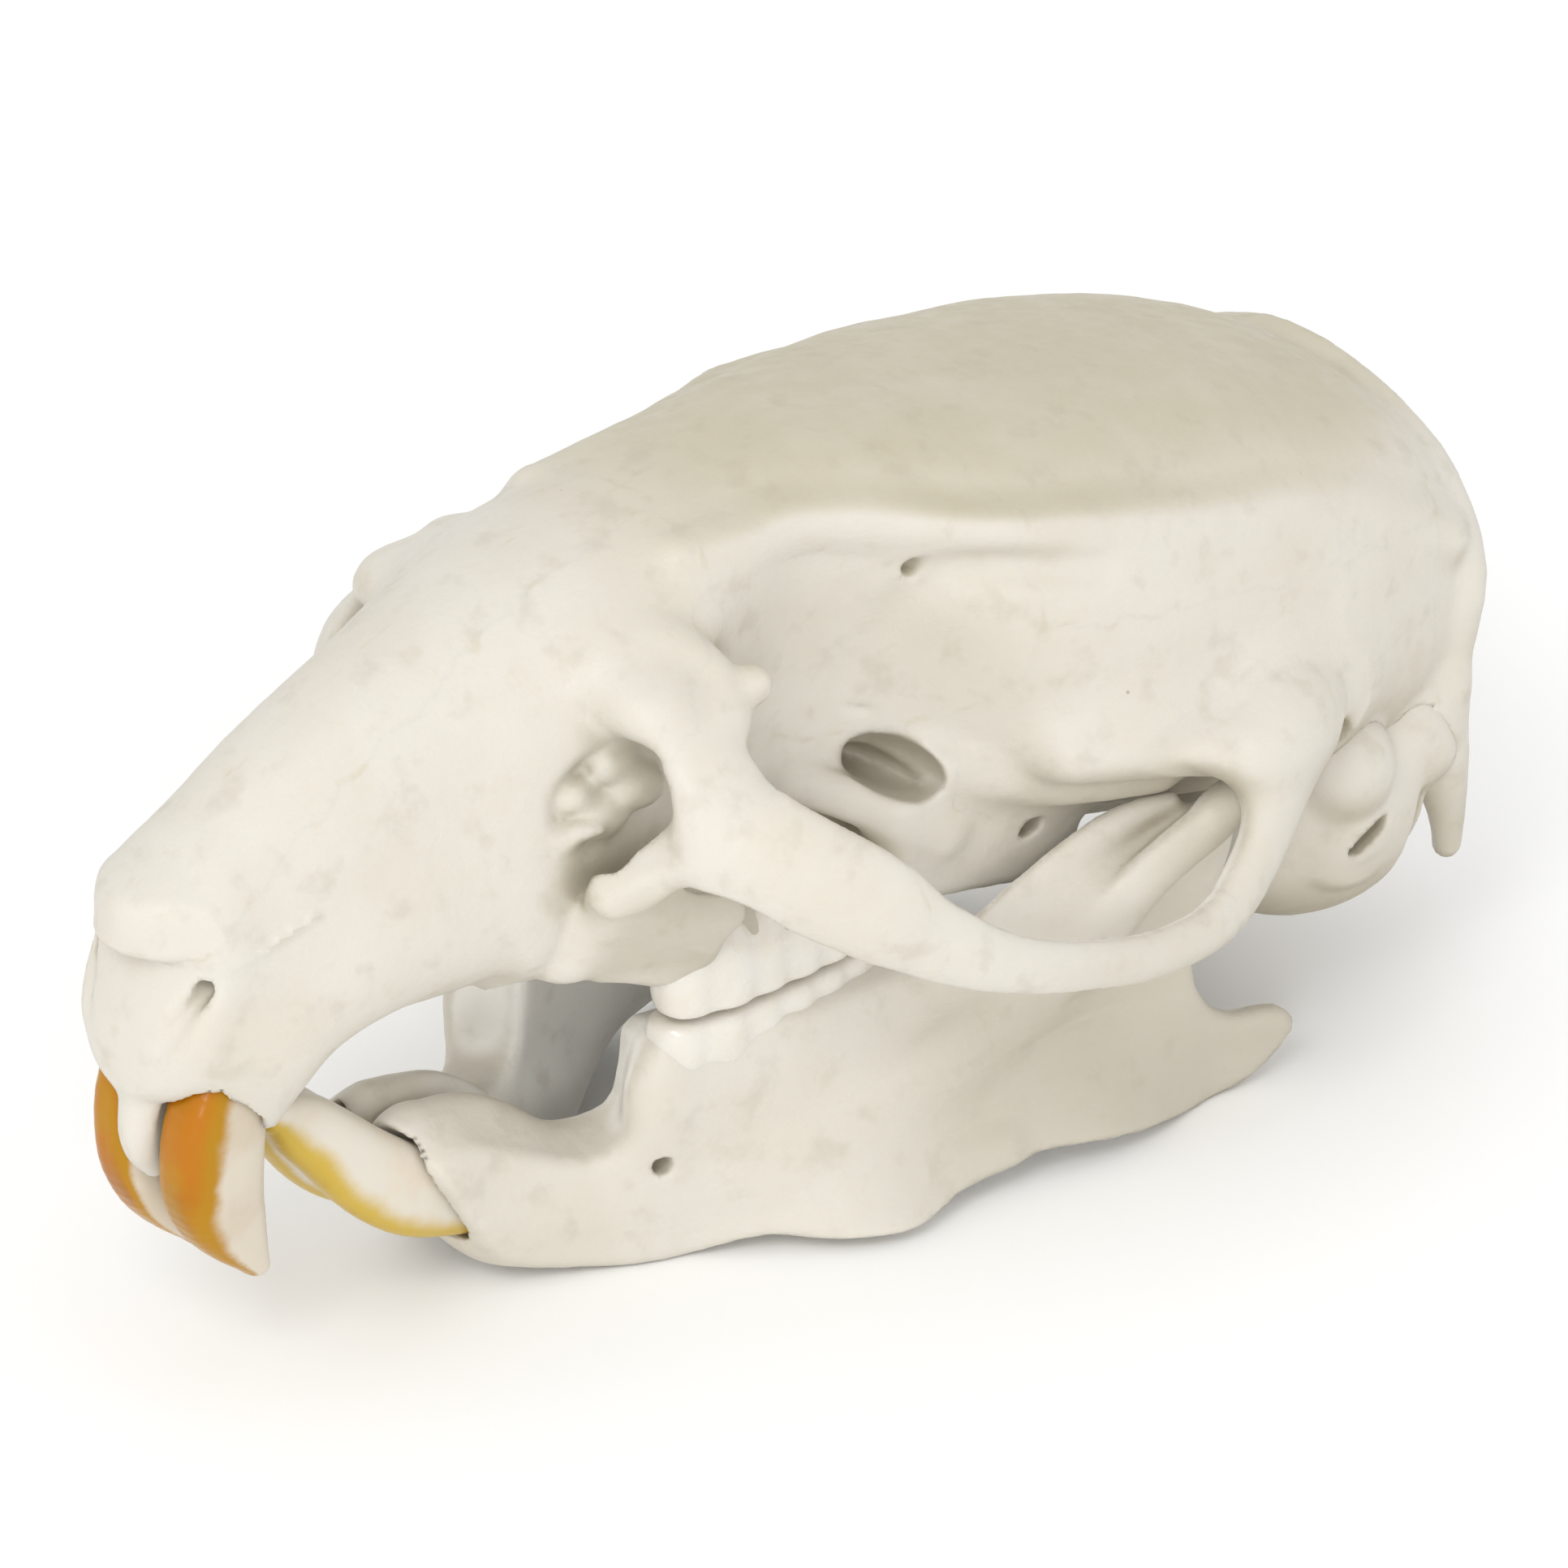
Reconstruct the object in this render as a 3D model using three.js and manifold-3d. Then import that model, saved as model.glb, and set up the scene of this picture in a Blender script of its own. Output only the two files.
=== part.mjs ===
// Rat skull with its lower jaw closed, life-size, in millimetres.
// The nose points along -X, the animal's left side lies on -Y, +Z is up and the jaw rests on z = 0.
// All positions in the tables are x (back from the nose), w (sideways from the midline), z (up).
import * as THREE from 'three';
import { mergeVertices } from 'three/addons/utils/BufferGeometryUtils.js';
import Module from 'manifold-3d';

// Driving sizes.
const CELL = 0.36;              // spacing of the grid the bones are shaped on
const TOOTH_CELL = 0.25;        // the same for the gnawing teeth
const SUTURE = 0.3;             // width of the joint left between two bones
const SOCKET = 0.3;             // room between a tooth and its socket
const HALF_SPAN = 13.2;         // half of the widest space the skull takes up
const MID_X = 24.02;            // station that stands over the origin
const REST = 0.16;              // depth of the small flats that the jaw rests on
const GRAIN = 1e-4;             // smallest step told apart
const REACH = 2.5;              // distance from a bar or a flat bone up to which its field is worked out
const HEAD_FACES = 5300;        // faces that the head is made of before it is cut along its sutures
const JAW_FACES = 1420;
const DRUM_FACES = 420;
const TOOTH_FACES = 240;
const FAR = 3;                  // value given for points far from a shape
const BITE = 7.7;               // height where the upper and lower molars meet
const BITE_GAP = 0.17;          // half of the gap left between their crowns

// Small maths: blends of numbers, and of two shapes over a width k.
const mix = (a, b, t) => a + (b - a) * t;
const clamp = (v, lo, hi) => Math.min(hi, Math.max(lo, v));
const smooth = (lo, hi, v) => { const t = clamp((v - lo) / (hi - lo), 0, 1); return t * t * (3 - 2 * t); };
const join = (a, b, k) => {
  const h = Math.max(k - Math.abs(a - b), 0) / k;
  return Math.min(a, b) - h * h * k / 4;
};
const cut = (a, b, k) => -join(-a, b, k);
const meet = (a, b, k) => -join(-a, -b, k);

// Value of a smooth curve through the rows of a table whose first column is the station.
function along(table, at) {
  const last = table.length - 1;
  const v = clamp(at, table[0][0], table[last][0]);
  let i = 0;
  while (i < last - 1 && table[i + 1][0] < v) i++;
  const a = table[Math.max(i - 1, 0)], b = table[i], c = table[i + 1], d = table[Math.min(i + 2, last)];
  const span = c[0] - b[0], t = (v - b[0]) / span, t2 = t * t, t3 = t2 * t;
  const out = [];
  for (let j = 1; j < b.length; j++) {
    const m0 = (c[j] - a[j]) / (c[0] - a[0]) * span, m1 = (d[j] - b[j]) / (d[0] - b[0]) * span;
    out.push((2 * t3 - 3 * t2 + 1) * b[j] + (t3 - 2 * t2 + t) * m0 + (3 * t2 - 2 * t3) * c[j] + (t3 - t2) * m1);
  }
  return out;
}

// Rows of a table made finer with a smooth curve through them.
function finer(rows, steps, closed = false) {
  const n = rows.length, out = [];
  const row = (i) => closed ? rows[(i + n) % n] : rows[clamp(i, 0, n - 1)];
  for (let i = 0; i < (closed ? n : n - 1); i++) {
    const a = row(i - 1), b = row(i), c = row(i + 1), d = row(i + 2);
    for (let s = 0; s < steps; s++) {
      const t = s / steps, t2 = t * t, t3 = t2 * t;
      out.push(b.map((_, j) => 0.5 * (2 * b[j] + (c[j] - a[j]) * t
        + (2 * a[j] - 5 * b[j] + 4 * c[j] - d[j]) * t2 + (3 * b[j] - a[j] - 3 * c[j] + d[j]) * t3)));
    }
  }
  if (!closed) out.push(rows[n - 1]);
  return out;
}

// Shapes: each is a function that tells how far a point is from its skin, negative inside.

// Egg with three half-axes, leaned by a pitch in the side view and a yaw in the top view.
function egg(cx, cw, cz, rx, rw, rz, pitch = 0, yaw = 0) {
  const cp = Math.cos(pitch), sp = Math.sin(pitch), cy = Math.cos(yaw), sy = Math.sin(yaw);
  return (x, w, z) => {
    const dx = x - cx, dw = w - cw, dz = z - cz;
    const ax = dx * cy + dw * sy, aw = -dx * sy + dw * cy;
    const px = (ax * cp + dz * sp) / rx, pw = aw / rw, pz = (-ax * sp + dz * cp) / rz;
    const k0 = Math.hypot(px, pw, pz), k1 = Math.hypot(px / rx, pw / rw, pz / rz);
    return k1 < GRAIN ? -Math.min(rx, rw, rz) : k0 * (k0 - 1) / k1;
  };
}

// Bar that follows a smooth curve. Rows: x, w, z, half-thickness, half-height, thin direction (x, w, z).
function bar(rows, steps = 4, square = 2) {
  const full = (r) => (r.length === 4 ? [...r, r[3], 0, 1, 0] : r.length === 5 ? [...r, 0, 1, 0] : r);
  const pts = finer(rows.map(full), steps);
  const lo = [0, 1, 2].map((j) => Math.min(...pts.map((p) => p[j] - p[4] - p[3])) - REACH);
  const hi = [0, 1, 2].map((j) => Math.max(...pts.map((p) => p[j] + p[4] + p[3])) + REACH);
  return (x, w, z) => {
    if (x < lo[0] || x > hi[0] || w < lo[1] || w > hi[1] || z < lo[2] || z > hi[2]) return FAR;
    let best = Infinity, bi = 0, bt = 0;
    for (let i = 0; i < pts.length - 1; i++) {
      const a = pts[i], b = pts[i + 1];
      const ex = b[0] - a[0], ew = b[1] - a[1], ez = b[2] - a[2];
      const reach = (x - a[0]) * ex + (w - a[1]) * ew + (z - a[2]) * ez;
      const t = clamp(reach / (ex * ex + ew * ew + ez * ez), 0, 1);
      const qx = x - a[0] - ex * t, qw = w - a[1] - ew * t, qz = z - a[2] - ez * t;
      const d = qx * qx + qw * qw + qz * qz;
      if (d < best) { best = d; bi = i; bt = t; }
    }
    const a = pts[bi], b = pts[bi + 1], v = a.map((q, j) => mix(q, b[j], bt));
    const qx = x - v[0], qw = w - v[1], qz = z - v[2], len = Math.hypot(v[5], v[6], v[7]);
    const s = (qx * v[5] + qw * v[6] + qz * v[7]) / len, rest = Math.sqrt(Math.max(best - s * s, 0));
    const k = Math.pow(Math.pow(Math.abs(s) / v[3], square) + Math.pow(rest / v[4], square), 1 / square);
    return (k - 1) * Math.min(v[3], v[4]);
  };
}

// Flat bone: an outline in the side view, a middle surface w(x, z) and a half-thickness t(x, z).
function blade(outline, steps, middle, thick, round = 0.5) {
  const pts = finer(outline, steps, true);
  const lo = [0, 1].map((j) => Math.min(...pts.map((p) => p[j])) - REACH);
  const hi = [0, 1].map((j) => Math.max(...pts.map((p) => p[j])) + REACH);
  return (x, w, z) => {
    if (x < lo[0] || x > hi[0] || z < lo[1] || z > hi[1]) return FAR;
    let best = Infinity, inside = false;
    for (let i = 0, j = pts.length - 1; i < pts.length; j = i++) {
      const [ax, az] = pts[j], [bx, bz] = pts[i], ex = bx - ax, ez = bz - az;
      const t = clamp(((x - ax) * ex + (z - az) * ez) / (ex * ex + ez * ez + 1e-12), 0, 1);
      best = Math.min(best, (x - ax - ex * t) ** 2 + (z - az - ez * t) ** 2);
      if ((az > z) !== (bz > z) && x < ax + (z - az) / (bz - az) * ex) inside = !inside;
    }
    const edge = (inside ? -1 : 1) * Math.sqrt(best);
    const m = middle(x, z), mx = middle(x + 0.1, z) - m, mz = middle(x, z + 0.1) - m;
    const face = Math.abs(w - m) / Math.sqrt(1 + 100 * (mx * mx + mz * mz)) - thick(x, z);
    return meet(edge, face, round);
  };
}

// Hull of the head: rows are x, half-width, top, bottom, height of the widest line, roundness above, below.
function hull(table) {
  const cache = new Map();
  return (x, w, z) => {
    let s = cache.get(x);
    if (!s) { s = along(table, x); cache.set(x, s); }
    const [half, top, low, wide, up, down] = s;
    const h = z > wide ? top - wide : wide - low, n = z > wide ? up : down;
    const k = Math.pow(Math.pow(Math.abs(w) / half, n) + Math.pow(Math.abs(z - wide) / h, n), 1 / n);
    const off = Math.max(table[0][0] - x, x - table[table.length - 1][0]);
    return Math.max((k - 1) * Math.min(half, h), off);
  };
}

// The skull without the lower jaw.
const HEAD = [
  [0.5, 2.25, 15.2, 9.6, 12.6, 2.2, 2.2],
  [2.0, 2.70, 16.2, 8.7, 12.3, 2.2, 2.6],
  [3.6, 2.90, 17.2, 7.2, 12.2, 2.2, 3.2],
  [4.6, 3.00, 17.8, 7.8, 12.5, 2.2, 3.0],
  [6.0, 3.10, 18.5, 9.1, 12.9, 2.3, 2.4],
  [8.0, 3.30, 19.4, 9.45, 13.3, 2.3, 2.2],
  [10.0, 3.50, 20.2, 9.25, 13.8, 2.3, 2.2],
  [12.0, 4.00, 20.8, 9.1, 15.4, 2.2, 2.1],
  [14.0, 4.40, 21.3, 9.2, 16.8, 2.2, 1.9],
  [16.0, 4.50, 21.6, 9.0, 17.8, 2.2, 1.8],
  [18.0, 4.40, 21.8, 8.9, 18.9, 2.2, 1.9],
  [20.0, 3.90, 22.0, 8.8, 19.8, 2.3, 2.0],
  [22.0, 3.70, 22.3, 8.6, 20.0, 2.5, 2.0],
  [24.0, 4.45, 22.4, 8.6, 19.3, 2.6, 1.9],
  [26.0, 5.70, 22.3, 8.8, 17.6, 2.5, 1.9],
  [28.0, 7.00, 22.1, 8.8, 16.2, 2.5, 2.0],
  [30.0, 7.75, 21.9, 8.6, 15.2, 2.5, 2.1],
  [33.0, 8.20, 21.5, 8.2, 14.6, 2.5, 2.3],
  [37.0, 8.30, 20.8, 7.5, 14.0, 2.5, 2.5],
  [40.0, 8.10, 20.0, 6.9, 13.4, 2.5, 2.6],
  [43.0, 7.40, 18.8, 6.8, 12.8, 2.5, 2.6],
  [44.8, 6.80, 17.5, 7.2, 12.4, 2.4, 2.4],
  [46.0, 5.50, 15.4, 8.0, 11.8, 2.2, 2.2],
];
const headHull = hull(HEAD);

// Tooth-bearing shelf of the upper jaw with the palate.
const SHELF = [
  [12.5, 2.4, 11.5, 9.5, 10.6, 2.4, 2.6],
  [14.5, 3.3, 11.2, 9.1, 10.2, 2.6, 3.0],
  [16.5, 4.6, 11.0, 8.4, 9.7, 2.6, 3.4],
  [19.0, 5.0, 10.9, 8.1, 9.5, 2.6, 3.6],
  [22.0, 5.0, 10.8, 7.9, 9.3, 2.6, 3.6],
  [24.5, 4.5, 10.6, 7.7, 9.1, 2.6, 3.4],
  [26.5, 3.4, 10.4, 8.0, 9.2, 2.4, 2.8],
];
const shelfHull = hull(SHELF);

// Swelling over the root of the gnawing tooth on the side of the snout.
const rootSwelling = bar([[4.6, 1.9, 11.0, 1.0, 1.2], [7.5, 2.5, 12.4, 1.0, 1.5], [10.5, 2.9, 13.0, 1.0, 1.8],
  [12.6, 3.3, 12.9, 0.95, 1.9]]);

// Cheek arch, from its root in front of the eye socket to the side of the braincase.
const ARCH = [
  [15.6, 4.3, 18.9, 0.70, 1.50, 0, 0.55, 0.85],
  [15.7, 5.9, 17.9, 0.60, 1.25, 0, 0.70, 0.70],
  [15.6, 7.0, 16.6, 0.55, 1.30, -0.2, 0.90, 0.40],
  [15.9, 8.2, 15.1, 0.55, 1.45, -0.4, 0.90, 0.20],
  [18.0, 10.1, 13.3, 0.55, 1.40, -0.4, 0.90, 0.1],
  [20.0, 11.1, 11.7, 0.52, 1.15, -0.3, 0.95, 0],
  [22.3, 11.7, 10.4, 0.50, 0.85, -0.1, 1, 0],
  [25.0, 11.9, 9.5, 0.48, 0.72, 0, 1, 0],
  [28.0, 11.6, 8.7, 0.50, 0.70, 0.1, 1, 0],
  [30.8, 11.0, 8.5, 0.55, 0.72, 0.2, 1, 0],
  [33.0, 10.2, 9.3, 0.62, 0.95, 0.3, 1, 0],
  [34.6, 9.5, 10.8, 0.70, 1.15, 0.3, 1, 0.1],
  [35.4, 8.7, 12.3, 0.80, 1.30, 0.2, 1, 0.3],
  [35.6, 7.6, 13.6, 0.90, 1.60, 0, 1, 0.4],
];
const archBar = bar(ARCH);
const archRoot = bar([
  [13.3, 5.6, 13.4, 0.4, 0.6, -0.3, 0.8, 0.5],
  [14.1, 6.25, 13.9, 0.42, 0.8, -0.3, 0.8, 0.5],
  [14.8, 7.0, 14.5, 0.45, 0.9, -0.35, 0.85, 0.4],
  [15.6, 8.3, 14.7, 0.45, 0.95, -0.4, 0.9, 0.2],
  [16.9, 9.5, 14.0, 0.45, 0.9, -0.4, 0.9, 0.1],
  [18.6, 10.5, 12.9, 0.4, 0.75, -0.4, 0.9, 0.1],
]);

// Upright plate of the upper jaw below the root of the cheek arch, in front of the molars.
const plateMiddle = (x, z) => 3.6 + 0.64 * (z - 10) + (x - 13.5) * (0.24 + 0.05 * (z - 9.5));
const cheekPlate = blade([[14.0, 9.8], [13.5, 11.3], [12.9, 12.8], [12.9, 13.4], [13.4, 14.0], [14.2, 14.4],
  [15.6, 14.5], [16.9, 13.4], [17.7, 11.6], [17.3, 9.6], [15.6, 9.3]], 3, plateMiddle, () => 0.42, 0.4);
const plateWeb = bar([[13.4, 3.9, 10.8, 0.5], [13.6, 4.3, 11.8, 0.5], [13.8, 4.6, 12.5, 0.4]]);
const plateKnob = egg(13.5, 3.5, 10.4, 0.9, 0.7, 0.55);
const plateRecess = egg(16.0, 7.5, 12.2, 2.3, 1.6, 1.45, -0.3);
const archBrace = egg(15.0, 5.0, 18.2, 1.1, 1.2, 0.85);

const shelfRidge = bar([[28.6, 7.2, 12.8, 0.7, 0.5], [31.0, 7.9, 12.7, 0.9, 0.6], [33.2, 8.8, 12.4, 1.0, 0.7],
  [35.3, 8.7, 12.4, 1.1, 0.9], [37.2, 8.0, 11.9, 0.7, 1.1]]);
const tearBump = egg(18.0, 5.9, 18.15, 0.62, 0.6, 0.58);
const tearRim = bar([[16.2, 4.4, 19.2, 0.6, 0.7], [17.0, 5.4, 18.6, 0.5, 0.6], [17.0, 6.1, 17.7, 0.45, 0.55]]);

// Ridge from the brow over the side of the braincase, and the crest across the back of the head.
const BROW = [[18.0, 3.3, 21.2, 0.3], [19.8, 3.4, 21.1, 0.3], [21.6, 3.6, 21.15, 0.3],
  [23.8, 4.35, 20.75, 0.36], [26.2, 5.75, 20.3, 0.36], [28.0, 6.5, 20.0, 0.36],
  [30.5, 6.85, 19.45, 0.36], [33.5, 7.05, 18.6, 0.36],
  [37.6, 7.0, 17.7, 0.36], [40.4, 7.0, 16.6, 0.36], [43.6, 7.2, 14.9, 0.36]];
const BROW_SINK = { w: 0.3, z: 0.22 };  // how far the ridge's core lies inward of and below its crest line
const browRidge = bar(BROW.map(([x, w, z, size]) => [x, w - BROW_SINK.w, z - BROW_SINK.z, size]), 3);
const CREST = [[44.2, -0.8, 18.2], [44.3, 1.2, 18.05], [44.6, 3.5, 17.1], [44.7, 5.6, 15.6], [44.5, 6.95, 13.3],
  [44.1, 6.75, 10.8], [43.5, 6.8, 8.8]];
const CREST_SIZE = 0.42;
const crestRidge = bar(CREST.map((p) => [...p, CREST_SIZE]), 3);
// Crease between the eye socket and the swelling of the braincase.
const templeCrease = bar([[29.6, 7.6, 18.4, 0.3], [28.1, 7.05, 18.8, 0.4], [26.4, 6.15, 18.95, 0.45],
  [25.2, 5.55, 18.7, 0.5], [24.4, 5.0, 17.5, 0.5], [23.6, 4.5, 16.0, 0.45], [23.2, 4.2, 15.0, 0.35]]);

// Ear region: swollen drum, bulges of the mastoid, ring and lip of the ear opening, process behind it.
const drum = egg(39.4, 5.3, 7.1, 4.0, 2.7, 3.3, -0.12, 0.25);
const mastoid = egg(39.3, 7.3, 9.0, 1.6, 1.3, 1.7, 0.3);
const mastoidBack = egg(42.3, 6.6, 8.8, 1.55, 1.05, 1.45, 0.2);
const mastoidLump = egg(43.0, 6.75, 8.1, 1.1, 0.85, 1.1);
const earRing = egg(39.5, 7.35, 6.9, 1.5, 0.8, 1.05, 0.5);
const earLip = bar([[38.3, 7.3, 6.1, 0.3], [39.1, 7.6, 5.7, 0.3], [40.2, 7.5, 5.9, 0.3],
  [41.2, 7.2, 6.6, 0.25]]);
const earSlit = egg(39.6, 8.2, 7.0, 0.8, 1.2, 0.25, 0.5);
const earCleft = egg(42.1, 7.4, 5.9, 0.45, 0.9, 1.3, -0.2);
const earNotch = egg(37.7, 8.5, 10.9, 0.5, 0.9, 0.65);
const neckProcess = bar([[43.6, 6.5, 9.5, 0.85, 1.1], [43.9, 6.55, 7.4, 0.75, 0.95],
  [44.35, 6.45, 5.7, 0.5, 0.62], [44.6, 6.25, 4.4, 0.42, 0.45]]);
const condyle = egg(46.3, 2.3, 8.0, 1.0, 0.95, 1.7, 0.5);
const spineHole = egg(47.6, 0, 10.6, 2.6, 2.5, 2.3, 0.3);
const nape = egg(51.6, 0, 13.6, 6.2, 9, 8.5, -0.2);
const base = bar([[30, 0, 8.6, 0.8, 1.9, 0, 0, 1], [36, 0, 7.2, 0.8, 2.2, 0, 0, 1],
  [42, 0, 6.6, 0.9, 2.4, 0, 0, 1], [45.6, 0, 7.6, 0.8, 2.2, 0, 0, 1]]);

// Wings of bone below the braincase, between the molars and the ear, and the ridges above them.
const wing = blade([[24.5, 10.6], [25.0, 8.5], [27.0, 7.3], [29.5, 6.8], [32.0, 6.5], [33.0, 7.6], [32.4, 9.6],
  [28.5, 11]], 3, (x, z) => 2.2 + 0.18 * (z - 6.5), () => 0.4, 0.3);
const sideWing = blade([[24.4, 11.6], [24.7, 9.8], [25.6, 8.5], [27.4, 8.1], [29.6, 7.8], [30.9, 8.2],
  [31.2, 10], [30.5, 12.4], [26.5, 12.8]], 3, (x, z) => 4.0 + 0.16 * (z - 8) + 0.09 * (x - 25), () => 0.5, 0.4);
const wingRoot = bar([[22.0, 3.0, 12.8, 0.5], [23.4, 3.9, 12.1, 0.6], [24.8, 4.3, 11.4, 0.7],
  [26.2, 4.6, 10.5, 0.6]]);
const wingRidge = bar([[25.6, 4.7, 12.9, 0.4], [26.8, 5.1, 12.3, 0.45], [28.4, 5.6, 11.6, 0.45],
  [30.1, 6.0, 11.1, 0.4], [32.4, 6.8, 11.0, 0.4]]);
const choana = egg(28.2, 0, 7.9, 3.9, 1.55, 1.5, -0.1);

// Openings and hollows.
const noseHollow = bar([[2.6, 2.2, 13.4, 0.22], [1.5, 2.0, 12.6, 0.2], [0.75, 1.7, 11.6, 0.16],
  [0.3, 1.4, 10.8, 0.1]]);
const noseHole = egg(2.5, 2.05, 13.35, 1.1, 0.3, 0.26, 0.35);
const toothTongue = bar([[2.2, 0, 10.2, 0.9, 1.1], [1.5, 0, 8.7, 0.72, 0.85], [1.35, 0, 7.7, 0.5, 0.6],
  [1.7, 0, 6.95, 0.3, 0.35]]);
const eyeHollow = egg(21.6, 7.6, 15.2, 4.9, 4.3, 5.4, 0.25);
const cheekHollow = egg(13.9, 4.95, 15.7, 1.9, 1.35, 1.4, 0.2);
const cheekSlit = egg(13.7, 5.0, 14.2, 0.6, 0.8, 0.6, 0, 0.2);
const nerveHole = egg(24.8, 4.3, 12.75, 1.35, 1.6, 0.8, -0.5);
const browHole = egg(25.0, 5.0, 19.0, 0.3, 0.8, 0.3);
const palateSlit = egg(10.9, 0.95, 9.1, 3.9, 0.42, 1.2, -0.05);

// Roof of the nose, which overhangs the nose opening.
const NOSE = [
  [-0.6, 1.7, 14.9, 13.9, 14.1, 2.0, 2.0],
  [0.6, 2.3, 15.5, 13.8, 14.0, 2.1, 2.0],
  [2.5, 2.65, 16.45, 13.6, 13.9, 2.1, 2.0],
  [5.0, 2.30, 17.6, 14.3, 14.6, 2.2, 2.0],
];
const noseHull = hull(NOSE);
// Front end of the nose roof and front face of the snout below it.
const roofFront = (x, w, z) => 0.33 + 0.3 * w * w - 0.05 * (14.4 - z) - x;
const snoutFront = (x, w, z) =>
  0.38 + w * w * (0.12 + 0.03 * Math.max(11 - z, 0)) + 0.35 * Math.max(z - 11.3, 0) - x;
const noseRoof = (x, w, z) => meet(noseHull(x, w, z), roofFront(x, w, z), 0.4);

// Molars: rows of x, w, half-length and half-width of each lobe, from front to back.
const LOBES = [
  [17.3, 4.0, 0.85, 0.9], [18.5, 4.1, 0.85, 1.05], [19.75, 4.1, 0.85, 1.02], [21.0, 4.1, 0.82, 1.0],
  [22.2, 4.05, 0.8, 0.94], [23.4, 3.95, 0.72, 0.86], [24.3, 3.85, 0.6, 0.72],
];
const UPPER_ROW = { level: 8.7, half: 1.5, side: 0 };
const LOWER_ROW = { level: 6.8, half: 1.3, side: -0.25 };
const molarRow = ({ level, half, side }) => LOBES.map(([x, w, rx, rw]) => [
  egg(x, w + side, level, rx * 1.15, rw * 0.95, half),
  egg(x, w + side + rw * 0.42, level, rx * 0.9, rw * 0.62, half * 1.05)]).flat();
const upperMolars = molarRow(UPPER_ROW);
const lowerMolars = molarRow(LOWER_ROW);
const molars = (row, x, w, z, bite) => {
  let d = FAR;
  if (x > 15.5 && x < 26) for (const lobe of row) d = join(d, lobe(x, w, z), 0.5);
  return meet(d, bite, 0.3);
};

function headField(x, w, z) {
  let d = headHull(x, w, z);
  d = join(d, shelfHull(x, w, z), 1.2);
  d = join(d, rootSwelling(x, w, z), 1.2);
  d = cut(d, eyeHollow(x, w, z), 1.2);
  d = join(d, tearRim(x, w, z), 0.6);
  d = join(d, join(archBar(x, w, z), archRoot(x, w, z), 0.8), 0.9);
  d = join(d, cheekPlate(x, w, z), 0.5);
  d = cut(d, plateRecess(x, w, z), 0.5);
  d = join(d, archBrace(x, w, z), 0.8);
  d = join(d, tearBump(x, w, z), 0.4);
  d = cut(d, templeCrease(x, w, z), 0.7);
  d = join(d, shelfRidge(x, w, z), 2.0);
  d = join(d, browRidge(x, w, z), 1.0);
  d = cut(d, nape(x, w, z), 0.8);
  d = join(d, crestRidge(x, w, z), 0.7);
  d = join(d, mastoid(x, w, z), 0.5);
  d = join(d, mastoidBack(x, w, z), 0.5);
  d = cut(d, earNotch(x, w, z), 0.3);
  d = join(d, neckProcess(x, w, z), 0.7);
  d = join(d, base(x, w, z), 0.9);
  d = join(d, condyle(x, w, z), 0.5);
  d = cut(d, spineHole(x, w, z), 0.5);
  d = join(d, wing(x, w, z), 0.4);
  d = join(d, sideWing(x, w, z), 0.6);
  d = join(d, wingRoot(x, w, z), 0.8);
  d = join(d, wingRidge(x, w, z), 0.9);
  d = cut(d, choana(x, w, z), 0.5);
  d = cut(d, cheekHollow(x, w, z), 0.3);
  d = cut(d, cheekSlit(x, w, z), 0.25);
  d = join(d, plateWeb(x, w, z), 0.5);
  d = join(d, plateKnob(x, w, z), 0.4);
  d = cut(d, nerveHole(x, w, z), 0.25);
  d = cut(d, browHole(x, w, z), 0.2);
  d = cut(d, palateSlit(x, w, z), 0.3);
  d = meet(d, snoutFront(x, w, z), 0.5);
  d = cut(d, noseHollow(x, w, z), 0.4);
  d = cut(d, noseHole(x, w, z), 0.15);
  d = join(d, noseRoof(x, w, z), 0.3);
  d = join(d, toothTongue(x, w, z), 0.4);
  d = join(d, molars(upperMolars, x, w, z, BITE + BITE_GAP - z), 0.15);
  return d;
}

// The lower jaw.
const JAW_MIDDLE = [[9, 1.2], [12, 1.4], [14.5, 2.1], [17, 3.1], [20, 3.9], [23, 4.5], [26, 5.05], [29, 5.75],
  [32, 6.5], [34, 7.0], [37.5, 7.6]];
// The lower edge flares outward behind the molars.
const jawFlare = (x, z) => 0.75 * Math.max(4 - z, 0) * smooth(17, 23, x) * (1 - smooth(29, 35, x));
const jawMiddle = (x, z) => along(JAW_MIDDLE, x)[0] + 0.09 * (z - 4) * smooth(22, 28, x) + jawFlare(x, z);
const jawThick = (x, z) => mix(1.05, 0.42, smooth(20, 26.5, x)) + 0.12 * (1 - smooth(0.4, 1.6, z));
const jawBlade = blade([[11.2, 2.3], [12.4, 1.15], [14.6, 0.4], [16.4, 0.1], [17.6, 0.25], [19.1, 0.65],
  [20.6, 0.5], [22.8, 0.55], [25.4, 0.95], [28.2, 1.05], [31.2, 0.65], [33.8, 0.05], [35.8, 0.35],
  [37.3, 1.5], [36.8, 2.35],
  [35.2, 2.6], [34.2, 3.3], [33.7, 4.6], [33.9, 6.2], [34.5, 7.9], [34.6, 9.6], [33.4, 9.9], [32.2, 9.3],
  [31.0, 8.75], [29.4, 8.1], [27.6, 7.2], [25.8, 7.0], [23.4, 6.8], [20.0, 6.8], [17.0, 7.0], [16.6, 5.8],
  [16.2, 4.4], [14.6, 3.6], [12.6, 4.2], [11.0, 4.9], [10.0, 4.4]], 3, jawMiddle, jawThick, 0.5);
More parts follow.
